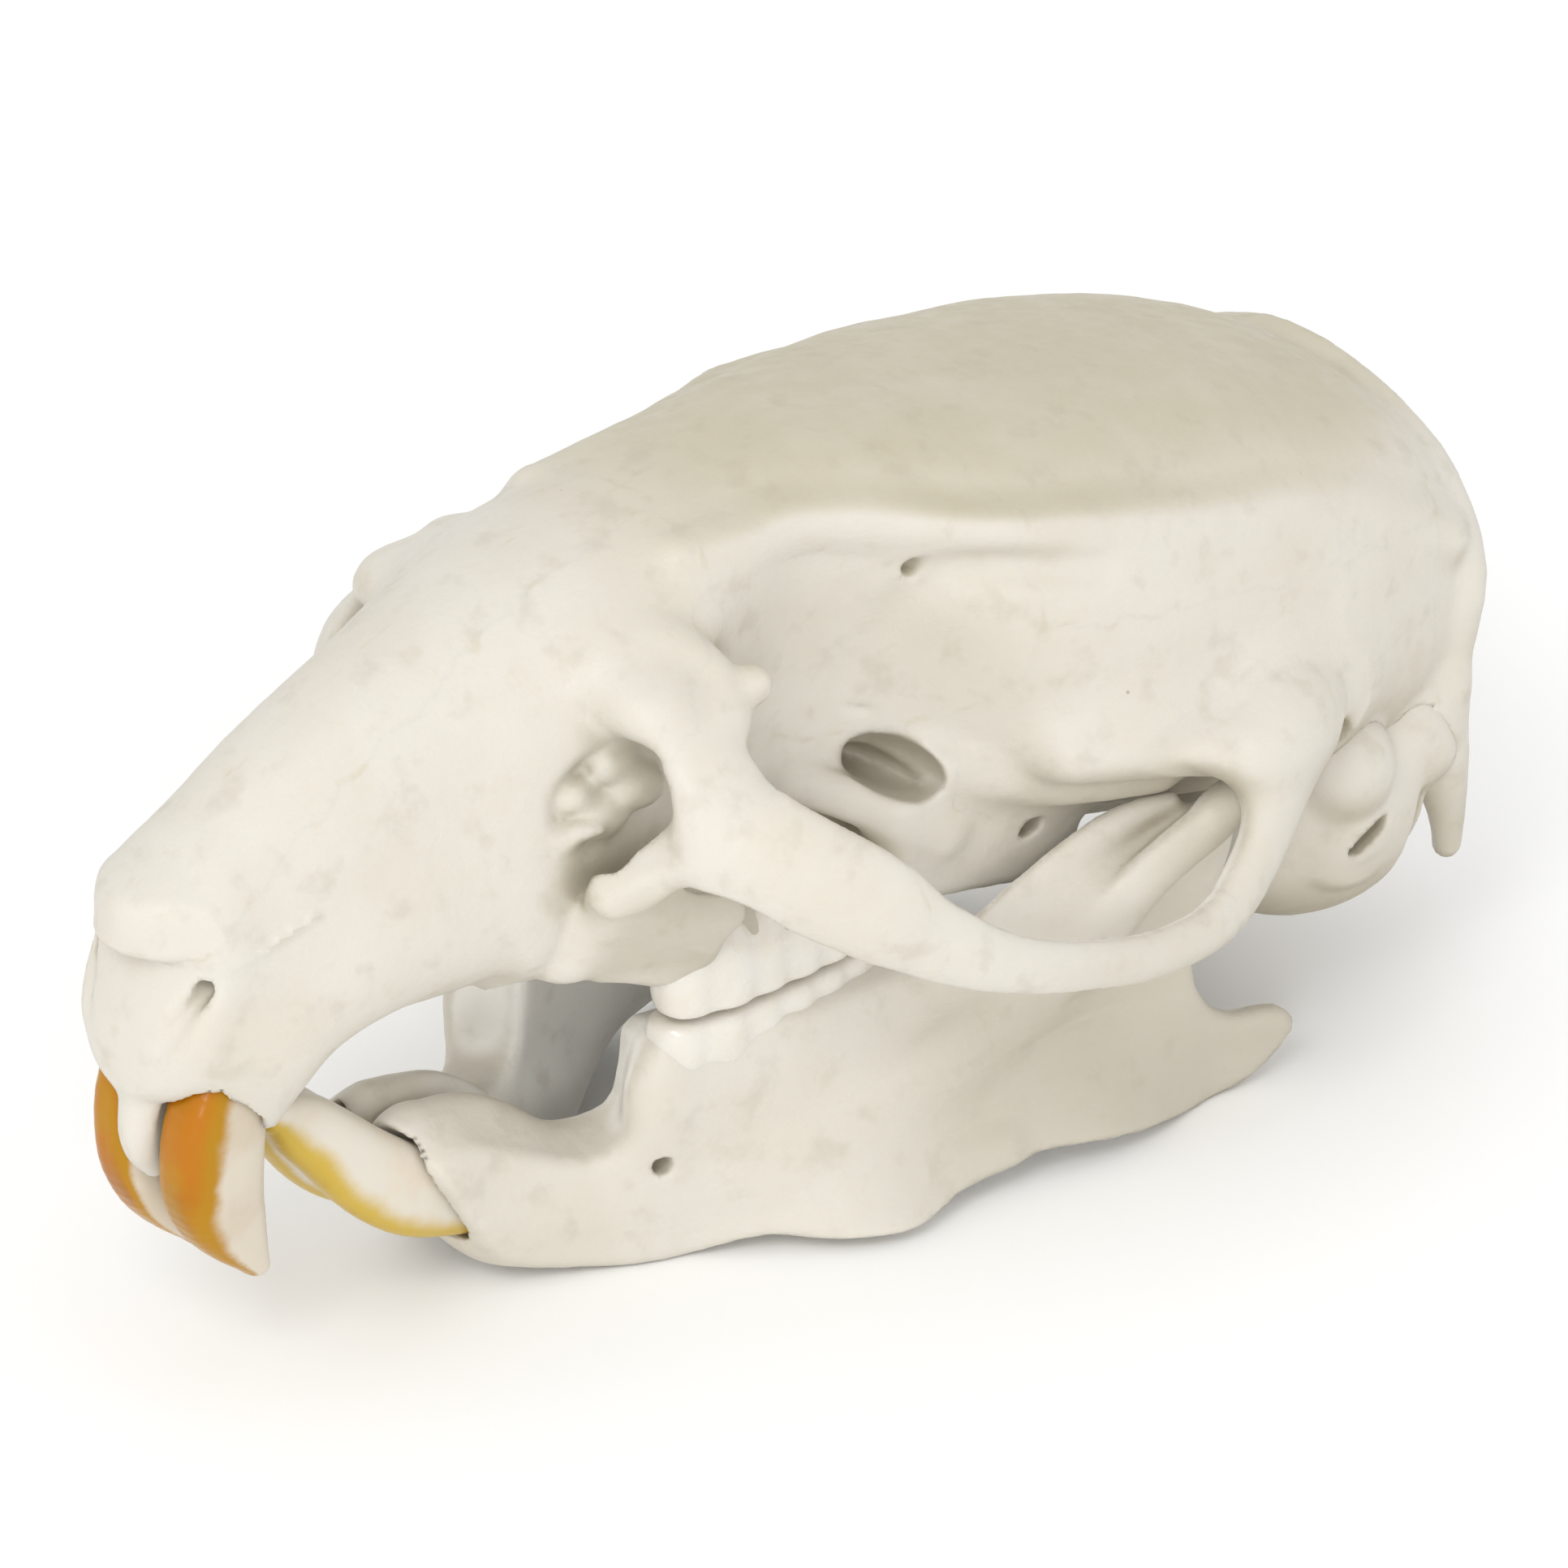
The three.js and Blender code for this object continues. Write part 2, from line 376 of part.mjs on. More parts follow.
const rootSheath = bar([[10.3, 1.4, 3.8, 1.15, 1.75], [11.9, 1.5, 2.95, 1.15, 1.9],
  [14.6, 2.1, 2.1, 1.15, 1.65], [18.0, 3.3, 2.2, 1.15, 1.6], [21.5, 5.1, 3.0, 1.0, 1.5],
  [25.0, 6.0, 4.0, 0.8, 1.5],
  [28.0, 6.1, 5.2, 0.8, 1.5], [30.3, 6.6, 7.0, 0.5, 1.2]]);
const toothShelf = bar([[17.4, 3.75, 5.3, 1.0, 1.9], [20.5, 4.0, 5.0, 1.3, 1.9], [23.6, 4.2, 5.1, 1.15, 1.7],
  [25.6, 4.6, 5.5, 0.7, 1.3]]);
const chin = bar([[9.9, 0.75, 4.9, 0.7, 1.25], [11.2, 0.8, 4.2, 0.75, 1.75], [12.5, 0.9, 3.5, 0.8, 1.75],
  [13.8, 1.2, 2.6, 0.8, 1.5], [15.6, 1.9, 2.1, 0.8, 1.2]]);
const hook = bar([[25.2, 5.3, 5.7, 0.45, 0.9], [26.8, 5.7, 7.0, 0.42, 0.9], [28.4, 6.0, 8.1, 0.4, 0.85],
  [30.2, 6.35, 9.15, 0.36, 0.7], [31.6, 6.65, 9.75, 0.32, 0.5], [32.8, 7.0, 10.0, 0.28, 0.28]]);
const neck = bar([[29.6, 6.9, 6.4, 0.45, 1.1], [31.5, 7.6, 8.35, 0.45, 0.85], [33.2, 8.2, 9.6, 0.5, 0.75]]);
const knuckle = egg(34.1, 8.3, 10.1, 1.25, 0.72, 0.7, 0.25, 0.1);
const chewRidge = bar([[18.7, 4.4, 2.4, 0.35, 0.4], [19.9, 5.1, 1.7, 0.4, 0.45], [21.6, 5.9, 1.35, 0.35, 0.4],
  [24.0, 6.7, 1.3, 0.3, 0.35], [26.5, 7.1, 1.35, 0.25, 0.3]]);
const chinHole = egg(16.4, 3.9, 3.3, 0.3, 0.7, 0.3);
// Slanting front end of the bone, round the gnawing tooth.
const jawFront = (x, w, z) => (8.55 + 0.62 * (5.9 - z) + 0.25 * (w - 1.2) - x) * 0.8;

function jawField(x, w, z) {
  let d = join(jawBlade(x, w, z), rootSheath(x, w, z), 0.9);
  d = join(d, toothShelf(x, w, z), 0.9);
  d = join(d, chin(x, w, z), 0.8);
  d = join(d, hook(x, w, z), 0.5);
  d = join(d, neck(x, w, z), 0.3);
  d = join(d, knuckle(x, w, z), 0.4);
  d = join(d, chewRidge(x, w, z), 0.7);
  d = meet(d, jawFront(x, w, z), 0.3);
  d = cut(d, chinHole(x, w, z), 0.2);
  d = join(d, molars(lowerMolars, x, w, z, z - BITE + BITE_GAP), 0.15);
  return d;
}

// The gnawing teeth.
const upperTooth = bar([[4.7, 1.4, 11.8, 0.6, 0.8], [3.5, 1.4, 10.3, 0.75, 1.1], [2.75, 1.42, 8.8, 0.93, 1.42],
  [2.62, 1.34, 7.2, 0.95, 1.48], [2.85, 1.22, 6.0, 0.94, 1.35], [3.35, 1.14, 4.85, 0.9, 0.98],
  [3.95, 1.08, 3.75, 0.84, 0.42]], 4, 3.0);
const lowerTooth = bar([[13.0, 1.55, 2.5, 0.55, 0.75], [11.4, 1.42, 2.95, 0.66, 1.0],
  [9.8, 1.3, 3.7, 0.8, 1.25], [8.4, 1.16, 4.7, 0.8, 1.22], [7.0, 0.95, 6.1, 0.76, 1.05],
  [6.1, 0.8, 6.95, 0.64, 0.92],
  [5.35, 0.74, 7.5, 0.56, 0.56]], 4, 2.5);

// Skin of the half-space below zero, found cell by cell; six corner-to-corner wedges fill each cell.
const WEDGES = [[0, 1, 2], [1, 2, 0], [2, 0, 1], [0, 2, 1], [2, 1, 0], [1, 0, 2]];
function skin(field, lo, hi, cell) {
  const n = [0, 1, 2].map((a) => Math.ceil((hi[a] - lo[a]) / cell) + 1);
  const at = (i, j, k) => (i * n[1] + j) * n[2] + k;
  const step = [n[1] * n[2], n[2], 1];
  const value = new Float64Array(n[0] * n[1] * n[2]);
  for (let i = 0; i < n[0]; i++) for (let j = 0; j < n[1]; j++) for (let k = 0; k < n[2]; k++) {
    const v = field(lo[0] + i * cell, lo[1] + j * cell, lo[2] + k * cell);
    value[at(i, j, k)] = Math.abs(v) < GRAIN ? GRAIN : v;
  }
  const points = [], faces = [], known = new Map();
  const spot = (a, b) => {
    const p = Math.min(a, b), q = Math.max(a, b), key = p * 8 + [1, n[2], n[2] + 1, step[0], step[0] + 1,
      step[0] + n[2], step[0] + n[2] + 1].indexOf(q - p);
    if (known.has(key)) return known.get(key);
    const t = clamp(value[p] / (value[p] - value[q]), 0.04, 0.96);
    const where = (c) => [Math.floor(c / step[0]), Math.floor(c / n[2]) % n[1], c % n[2]];
    const P = where(p), Q = where(q);
    points.push([0, 1, 2].map((axis) => lo[axis] + cell * mix(P[axis], Q[axis], t)));
    known.set(key, points.length - 1);
    return points.length - 1;
  };
  for (let i = 0; i < n[0] - 1; i++) for (let j = 0; j < n[1] - 1; j++) for (let k = 0; k < n[2] - 1; k++) {
    const c = at(i, j, k);
    let low = 0;
    for (let m = 0; m < 8; m++) if (value[c + (m & 1) * step[0] + (m >> 1 & 1) * step[1] + (m >> 2)] < 0) low++;
    if (low === 0 || low === 8) continue;
    WEDGES.forEach(([a, b], turn) => {
      let v = [c, c + step[a], c + step[a] + step[b], c + step[0] + step[1] + step[2]];
      if (turn > 2) v = [v[0], v[2], v[1], v[3]];
      const inner = v.map((q) => value[q] < 0), count = inner.filter(Boolean).length;
      if (count === 0 || count === 4) return;
      if (count !== 2) {
        const one = inner.indexOf(count === 1), [p, q, r] = [[1, 2, 3], [0, 3, 2], [0, 1, 3], [0, 2, 1]][one];
        const f = [spot(v[one], v[p]), spot(v[one], v[q]), spot(v[one], v[r])];
        faces.push(count === 1 ? f : [f[0], f[2], f[1]]);
        return;
      }
      const code = inner.map((q, m) => q ? m : '').join('');
      const [p, q, r, s] = { '01': [0, 1, 2, 3], '02': [0, 2, 3, 1], '03': [0, 3, 1, 2], '12': [1, 2, 0, 3],
        '13': [1, 3, 2, 0], '23': [2, 3, 0, 1] }[code];
      const f = [spot(v[p], v[r]), spot(v[p], v[s]), spot(v[q], v[s]), spot(v[q], v[r])];
      faces.push([f[0], f[1], f[2]], [f[0], f[2], f[3]]);
    });
  }
  return { points, faces };
}

// Volume of the box spanned by three rows.
const volumeOf = ([a, b, c]) => a[0] * (b[1] * c[2] - b[2] * c[1]) - a[1] * (b[0] * c[2] - b[2] * c[0])
  + a[2] * (b[0] * c[1] - b[1] * c[0]);

// Fewer and larger faces: the edge whose loss changes the skin least is folded up, again and again.
function simplify({ points, faces }, wanted) {
  const P = points.map((p) => [...p]), F = faces.map((f) => [...f]), live = F.map(() => true);
  const around = P.map(() => new Set());
  const Q = P.map(() => new Float64Array(10)), version = new Int32Array(P.length);
  const normal = (a, b, c) => {
    const ux = b[0] - a[0], uy = b[1] - a[1], uz = b[2] - a[2];
    const vx = c[0] - a[0], vy = c[1] - a[1], vz = c[2] - a[2];
    return [uy * vz - uz * vy, uz * vx - ux * vz, ux * vy - uy * vx];
  };
  F.forEach((f, i) => {
    const m = normal(P[f[0]], P[f[1]], P[f[2]]), len = Math.hypot(...m) || 1, [a, b, c] = m.map((q) => q / len);
    const d = -(a * P[f[0]][0] + b * P[f[0]][1] + c * P[f[0]][2]);
    const q = [a * a, a * b, a * c, a * d, b * b, b * c, b * d, c * c, c * d, d * d];
    for (const v of f) { around[v].add(i); for (let j = 0; j < 10; j++) Q[v][j] += q[j] * (len + 0.002); }
  });
  const cost = (q, [x, y, z]) => q[0] * x * x + 2 * q[1] * x * y + 2 * q[2] * x * z + 2 * q[3] * x
    + q[4] * y * y + 2 * q[5] * y * z + 2 * q[6] * y + q[7] * z * z + 2 * q[8] * z + q[9];
  const heap = [];
  const push = (e) => {
    heap.push(e);
    for (let i = heap.length - 1; i > 0;) {
      const up = (i - 1) >> 1;
      if (heap[up][0] <= heap[i][0]) break;
      [heap[up], heap[i]] = [heap[i], heap[up]]; i = up;
    }
  };
  const pop = () => {
    const top = heap[0], end = heap.pop();
    if (heap.length) {
      heap[0] = end;
      for (let i = 0; ;) {
        let c = 2 * i + 1;
        if (c >= heap.length) break;
        if (c + 1 < heap.length && heap[c + 1][0] < heap[c][0]) c++;
        if (heap[i][0] <= heap[c][0]) break;
        [heap[c], heap[i]] = [heap[i], heap[c]]; i = c;
      }
    }
    return top;
  };
  const offer = (a, b) => {
    const q = Q[a].map((v, j) => v + Q[b][j]), mid = P[a].map((v, j) => (v + P[b][j]) / 2);
    const length = Math.hypot(P[a][0] - P[b][0], P[a][1] - P[b][1], P[a][2] - P[b][2]);
    let best = mid;
    const m = [[q[0], q[1], q[2]], [q[1], q[4], q[5]], [q[2], q[5], q[7]]], right = [-q[3], -q[6], -q[8]];
    const det = volumeOf(m);
    if (Math.abs(det) > 1e-7 * (q[0] + q[4] + q[7]) ** 3) {
      const swapped = (j) => m.map((r, i) => r.map((v, c) => (c === j ? right[i] : v)));
      const spot = [0, 1, 2].map((j) => volumeOf(swapped(j)) / det);
      if (Math.hypot(spot[0] - mid[0], spot[1] - mid[1], spot[2] - mid[2]) < length) best = spot;
    }
    push([Math.max(cost(q, best), 0) + 1e-5 * length * length, a, b, version[a], version[b], best, q]);
  };
  const ring = (v) => new Set([...around[v]].flatMap((f) => F[f]).filter((u) => u !== v));
  P.forEach((_, v) => { for (const u of ring(v)) if (v < u) offer(v, u); });
  let left = F.length;
  while (left > wanted && heap.length) {
    const [, a, b, va, vb, to, q] = pop();
    if (version[a] !== va || version[b] !== vb) continue;
    const ra = ring(a), rb = ring(b), shared = [...ra].filter((v) => rb.has(v));
    if (shared.length !== 2) continue;
    let fine = true;
    for (const v of [a, b]) {
      for (const f of around[v]) {
        const t = F[f];
        if (t.includes(a) && t.includes(b)) continue;
        const before = normal(...t.map((u) => P[u])), after = normal(...t.map((u) => u === v ? to : P[u]));
        const dot = before[0] * after[0] + before[1] * after[1] + before[2] * after[2];
        const size = Math.hypot(...after);
        if (dot < 0.25 * Math.hypot(...before) * size || size < 1e-4) { fine = false; break; }
      }
      if (!fine) break;
    }
    if (!fine) continue;
    for (const f of [...around[b]]) {
      if (F[f].includes(a)) { live[f] = false; left--; for (const v of F[f]) around[v].delete(f); } else {
        F[f] = F[f].map((v) => v === b ? a : v); around[a].add(f);
      }
    }
    P[a] = to; Q[a] = q; version[a]++; version[b] = -1;
    for (const v of ring(a)) offer(a, v);
  }
  const kept = F.filter((_, i) => live[i]), used = [...new Set(kept.flat())];
  const id = new Map(used.map((v, i) => [v, i]));
  return { points: used.map((v) => P[v]), faces: kept.map((f) => f.map((v) => id.get(v))) };
}

// Solids are joined and cut from here on.
const wasm = await Module();
wasm.setup();
const { Manifold, Mesh } = wasm;
const solidOf = ({ points, faces }) => new Manifold(new Mesh({ numProp: 3,
  vertProperties: new Float32Array(points.flat()), triVerts: new Uint32Array(faces.flat()) }));
// Turns x, w, z into the part's own frame, on the left (-1), the right (1) or both sides (0).
const place = ({ points, faces }, side) => ({
  points: points.map(([x, w, z]) => [x - MID_X, side === 0 ? w : w * side, z - REST]),
  faces: side === -1 ? faces.map(([a, b, c]) => [a, c, b]) : faces,
});
const largest = (solid) => solid.decompose().sort((a, b) => b.volume() - a.volume())[0];

// Upright prism on an outline drawn in the side view (x, z), from one y to another.
function sideBlock(outline, from, to) {
  const shape = new THREE.Shape(outline.map(([x, z]) => new THREE.Vector2(x - MID_X, z - REST)));
  const g = new THREE.ExtrudeGeometry(shape, { depth: to - from, bevelEnabled: false });
  g.rotateX(Math.PI / 2).translate(0, to, 0);
  return blockOf(g);
}
// Prism on an outline drawn in the top view (x, y), from one height to another.
function topBlock(outline, from, to) {
  const shape = new THREE.Shape(outline.map(([x, y]) => new THREE.Vector2(x - MID_X, y)));
  const g = new THREE.ExtrudeGeometry(shape, { depth: to - from, bevelEnabled: false });
  g.translate(0, 0, from - REST);
  return blockOf(g);
}
function blockOf(geometry) {
  const g = mergeVertices(geometry.deleteAttribute('normal').deleteAttribute('uv'), 1e-5);
  return new Manifold(new Mesh({ numProp: 3, vertProperties: new Float32Array(g.attributes.position.array),
    triVerts: new Uint32Array(g.index.array) }));
}
// Outline moved outward by a distance; the corners stay corners.
function grow(outline, by) {
  const area = outline.reduce((sum, [x, z], i) => {
    const [u, v] = outline[(i + 1) % outline.length];
    return sum + x * v - u * z;
  }, 0);
  const turn = Math.sign(area);
  return outline.map(([x, z], i) => {
    const n = outline.length, [ax, az] = outline[(i + n - 1) % n], [bx, bz] = outline[(i + 1) % n];
    const l1 = Math.hypot(x - ax, z - az), l2 = Math.hypot(bx - x, bz - z);
    const n1 = [(z - az) / l1, (ax - x) / l1], n2 = [(bz - z) / l2, (x - bx) / l2];
    const k = by * turn / (1 + n1[0] * n2[0] + n1[1] * n2[1]);
    return [x + (n1[0] + n2[0]) * k, z + (n1[1] + n2[1]) * k];
  });
}
// Takes a region out of a body and leaves a joint of the suture's width round it.
function part(body, region) {
  return [body.intersect(region(-SUTURE / 2)), body.subtract(region(SUTURE / 2))];
}

// Ear capsule, which has its own piece on each side.
const earField = (x, w, z) => {
  let d = join(drum(x, w, z), mastoid(x, w, z), 0.5);
  d = join(d, mastoidBack(x, w, z), 0.5);
  d = join(d, mastoidLump(x, w, z), 0.4);
  d = join(d, earRing(x, w, z), 0.4);
  d = join(d, earLip(x, w, z), 0.35);
  d = cut(d, earSlit(x, w, z), 0.15);
  return cut(d, earCleft(x, w, z), 0.4);
};
const headSkin = (x, w, z) => {
  let d = headField(x, w, z);
  if (x < 7) d = cut(d, upperTooth(x, w, z) - SOCKET, 0.05);
  if (x > 34 && z < 13) d = cut(d, earField(x, w, z) - SUTURE, 0.05);
  if (x > 15 && z < 12) d = cut(d, jawField(x, w, z) - SUTURE, 0.05);
  return d;
};
const jawSkin = (x, w, z) => {
  let d = Math.max(jawField(x, w, z), SUTURE / 2 - w);
  if (x < 16) d = cut(d, lowerTooth(x, w, z) - SOCKET, 0.05);
  return d;
};
const bothSides = (half) => (x, w, z) => half(x, Math.abs(w), z);
const HEAD_BOX = [[-2, -HALF_SPAN + CELL / 2, 3], [49, HALF_SPAN, 24.2]];
const headMesh = simplify(skin(bothSides(headSkin), ...HEAD_BOX, CELL), HEAD_FACES);
let head = solidOf(place(headMesh, 0));

// The head is cut along its sutures. Each region is an outline (x, z) or (x, y), larger by a given distance.
const WIDE = 20;                // beyond either side of the skull
const OUT = 30;                 // above the skull
const across = (outline) => (by) => sideBlock(grow(outline, by), -WIDE, WIDE);
// The same on one side only, from a distance off the midline outward; side is 1 for right and -1 for left.
const outward = (outline, from, side) => (by) =>
  sideBlock(grow(outline, by), side > 0 ? from - by : -WIDE, side > 0 ? WIDE : by - from);

const nasalSide = across([[-4, 12.6], [0.4, 13.4], [2.4, 14.4], [5, 16.5], [8, 18.3], [12, 19.7], [15.5, 20.6],
  [18.6, 20.9], [18.6, OUT], [-4, OUT]]);
const nasalTop = (by) => topBlock(grow([[-4, -2.75], [4, -2.5], [10, -2.1], [15, -1.7], [18.6, -1.3],
  [18.6, 1.3], [15, 1.7], [10, 2.1], [4, 2.5], [-4, 2.75]], by), 0, OUT);
const premaxillaSide = across([[-5, 2], [12.3, 2], [12.4, 11.8], [13.0, 14.6], [14.3, 17.0], [15.9, 18.9],
  [18.3, 20.4], [18.5, OUT], [-5, OUT]]);
const frontalSide = across([[10, OUT], [10, 23.5], [18.6, 20.2], [18.6, 18.8], [19.4, 16.9], [20.6, 15.0],
  [22.4, 13.9], [24.6, 13.7], [26.4, 14.4], [27.6, 15.8], [28.0, 17.6], [27.3, 19.6], [27.0, OUT]]);
const parietalSide = across([[20, OUT], [25, 18.5], [27.9, 16.9], [33.0, 16.6], [38.3, 16.0], [38.3, OUT]]);
const interparietalSide = across([[36, OUT], [38, 16.1], [42.9, 15.6], [43.3, 17.0], [43.4, OUT]]);
const occipitalSide = across([[43.0, OUT], [43.2, 17.2], [42.7, 15.4], [42.6, 11.6], [43.1, 9.8], [43.0, 2],
  [52, 2], [52, OUT]]);
// Floor of the braincase between the ear capsules, part of the bone at the back of the head.
const FLOOR_PLAN = [[36.4, -3.2], [44, -3.2], [44, 3.2], [36.4, 3.2]];
const occipitalFloor = (by) => topBlock(grow(FLOOR_PLAN, by), 2, 9.2 + by);
const squamosal = (side) => {
  const flank = outward([[26.2, 11.4], [28.0, 10.4], [44, 10.4], [44, 20], [26.2, 20]], 4.8, side);
  const archRear = outward([[26.2, 5], [36.6, 5], [36.6, 14], [26.2, 14]], 8.7, side);
  return (by) => flank(by).add(archRear(by));
};
const cheekbone = (side) => outward([[19.2, 15], [21.4, 5], [31.9, 5], [30.4, 12.4], [24, 13]], 8.8, side);
const maxilla = (side) => outward([[5, 2], [25.0, 2], [25.2, 20], [5, 20]], 0, side);
const bones = {};
const take = (name, region) => {
  const [piece, rest] = part(head, region);
  bones[name] = piece;
  head = rest;
};
take('nasal_bones', (by) => nasalSide(by).intersect(nasalTop(by)));
take('premaxilla', premaxillaSide);
take('cheekbone_left', cheekbone(-1));
take('cheekbone_right', cheekbone(1));
take('frontal_bones', frontalSide);
take('parietal_bones', parietalSide);
take('interparietal_bone', interparietalSide);
take('occipital_bone', (by) => occipitalSide(by).add(occipitalFloor(by)));
take('squamosal_left', squamosal(-1));
take('squamosal_right', squamosal(1));
take('maxilla_left', maxilla(-1));
take('maxilla_right', maxilla(1));
bones.sphenoid_bones = head;

// Pairs are made once and mirrored.
const pair = (name, field, lo, hi, cell, wanted) => {
  const made = simplify(skin(field, lo, hi, cell), wanted);
  bones[`${name}_left`] = solidOf(place(made, -1));
  bones[`${name}_right`] = solidOf(place(made, 1));
};
pair('ear_capsule', earField, [34, 1, 2.5], [45.5, 9.5, 12], CELL, DRUM_FACES);
pair('mandible', jawSkin, [8, -0.4, -0.6], [39, 10.5, 12.5], CELL, JAW_FACES);
pair('upper_incisor', upperTooth, [0.6, 0, 2.6], [6.5, 3.2, 13.6], TOOTH_CELL, TOOTH_FACES);
pair('lower_incisor', lowerTooth, [4.2, -0.2, 1], [14.8, 3, 8.8], TOOTH_CELL, TOOTH_FACES);

// The lower edges of the jaw are worn to small flats where they rest.
const floor = sideBlock([[-WIDE, REST], [3 * WIDE, REST], [3 * WIDE, -WIDE], [-WIDE, -WIDE]], -WIDE, WIDE);
for (const side of ['left', 'right']) bones[`mandible_${side}`] = bones[`mandible_${side}`].subtract(floor);

// The part: one mesh for each bone and each gnawing tooth.
const BONE = 0xe9e4d8, WARM = 0xe3dccb, GREY = 0xdedacf, ORANGE = 0xd98a22, YELLOW = 0xdcb44a;
const COLOURS = { upper_incisor: ORANGE, lower_incisor: YELLOW, mandible: WARM, ear_capsule: GREY,
  sphenoid_bones: WARM, occipital_bone: GREY, cheekbone: WARM };
const skull = new THREE.Group();
skull.name = 'rat_skull';
for (const [name, solid] of Object.entries(bones)) {
  const out = largest(solid).getMesh();
  const geometry = new THREE.BufferGeometry();
  const xyz = out.vertProperties.filter((_, i) => i % out.numProp < 3);
  geometry.setAttribute('position', new THREE.BufferAttribute(xyz, 3));
  geometry.setIndex(Array.from(out.triVerts));
  const kind = Object.keys(COLOURS).find((key) => name.startsWith(key));
  const material = new THREE.MeshStandardMaterial({ color: kind ? COLOURS[kind] : BONE, roughness: 0.55 });
  const mesh = new THREE.Mesh(geometry, material);
  mesh.name = name;
  skull.add(mesh);
}
export default skull;
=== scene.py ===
# Rat skull on a plain pale table, life-size. The bones are shaped on a fine grid and cut along their sutures.
# Shapes are given in millimetres as x (back from the nose), w (sideways from the midline) and z (up).
import math
import bpy
import numpy as np
from mathutils import Matrix, Vector


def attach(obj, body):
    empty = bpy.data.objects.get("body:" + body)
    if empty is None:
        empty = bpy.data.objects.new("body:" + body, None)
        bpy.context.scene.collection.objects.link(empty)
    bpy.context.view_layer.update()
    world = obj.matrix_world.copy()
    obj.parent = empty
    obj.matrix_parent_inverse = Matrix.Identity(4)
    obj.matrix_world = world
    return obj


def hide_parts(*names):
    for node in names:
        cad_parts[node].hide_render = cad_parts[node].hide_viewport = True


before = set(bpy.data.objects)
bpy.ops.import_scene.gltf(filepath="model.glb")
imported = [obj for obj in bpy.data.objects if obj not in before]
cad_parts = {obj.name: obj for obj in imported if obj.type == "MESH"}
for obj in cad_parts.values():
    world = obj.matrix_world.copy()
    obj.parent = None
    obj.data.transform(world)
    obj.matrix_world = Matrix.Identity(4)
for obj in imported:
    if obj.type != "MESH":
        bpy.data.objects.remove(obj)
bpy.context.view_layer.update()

CELL = 0.15      # grid that the bones are shaped on
TOOTH_CELL = 0.08
MID_X, REST = 24.02, 0.16               # where x = 0 and z = 0 of the part lie in the tables
FAR = 9.0                               # value where no shape is near
UNKNOWN = 1e9                           # squared distance before anything is measured
PROBE = 0.1                             # step over which the slope of a middle surface is measured
MM = 0.001


# Curves through the rows of a table.
def along(table, at):
    """Values of a smooth curve through the rows of a table whose first column is the station."""
    t = np.array(table, float)
    at = np.clip(at, t[0, 0], t[-1, 0])
    i = np.clip(np.searchsorted(t[:, 0], at, side="left") - 1, 0, len(t) - 2)
    a, b, c, d = t[np.maximum(i - 1, 0)], t[i], t[i + 1], t[np.minimum(i + 2, len(t) - 1)]
    span = c[..., :1] - b[..., :1]
    u = (at[..., None] - b[..., :1]) / span
    m0 = (c[..., 1:] - a[..., 1:]) / (c[..., :1] - a[..., :1]) * span
    m1 = (d[..., 1:] - b[..., 1:]) / (d[..., :1] - b[..., :1]) * span
    return ((2 * u**3 - 3 * u**2 + 1) * b[..., 1:] + (u**3 - 2 * u**2 + u) * m0
            + (3 * u**2 - 2 * u**3) * c[..., 1:] + (u**3 - u**2) * m1)


def finer(rows, steps, closed=False):
    """Rows of a table made finer with a smooth curve through them."""
    r = np.array(rows, float)
    n = len(r)
    get = (lambda i: r[i % n]) if closed else (lambda i: r[min(max(i, 0), n - 1)])
    out = []
    for i in range(n if closed else n - 1):
        a, b, c, d = get(i - 1), get(i), get(i + 1), get(i + 2)
        for s in range(steps):
            t = s / steps
            twice = 2 * b + (c - a) * t + (2 * a - 5 * b + 4 * c - d) * t**2 + (3 * b - a - 3 * c + d) * t**3
            out.append(0.5 * twice)
    if not closed:
        out.append(r[-1])
    return np.array(out)


def smooth(lo, hi, v):
    """Soft step from 0 at lo to 1 at hi."""
    t = np.clip((v - lo) / (hi - lo), 0, 1)
    return t * t * (3 - 2 * t)


def soft_min(a, b, k):
    """The lower of two values, blended where they differ by less than k."""
    h = np.maximum(k - np.abs(a - b), 0) / k
    return np.minimum(a, b) - h * h * (k / 4)


def soft_max(a, b, k):
    return -soft_min(-a, -b, k)


def within(axes, lo, hi):
    """Which points of a grid's axes lie between two corners."""
    return tuple(slice(*np.searchsorted(axis, ends)) for axis, *ends in zip(axes, lo, hi))


def corner_shares(f):
    """The corners of a cell, and the share that each has in a point at the fractions f of the cell."""
    for a, b, c in np.ndindex(2, 2, 2):
        yield (a, b, c), abs(1 - a - f[:, 0]) * abs(1 - b - f[:, 1]) * abs(1 - c - f[:, 2])


def full_row(row):
    """A row of a bar with what it leaves out: a round section, or a thin direction that is sideways."""
    row = list(row)
    if len(row) == 4:
        row.append(row[3])
    return row if len(row) > 5 else row + [0, 1, 0]


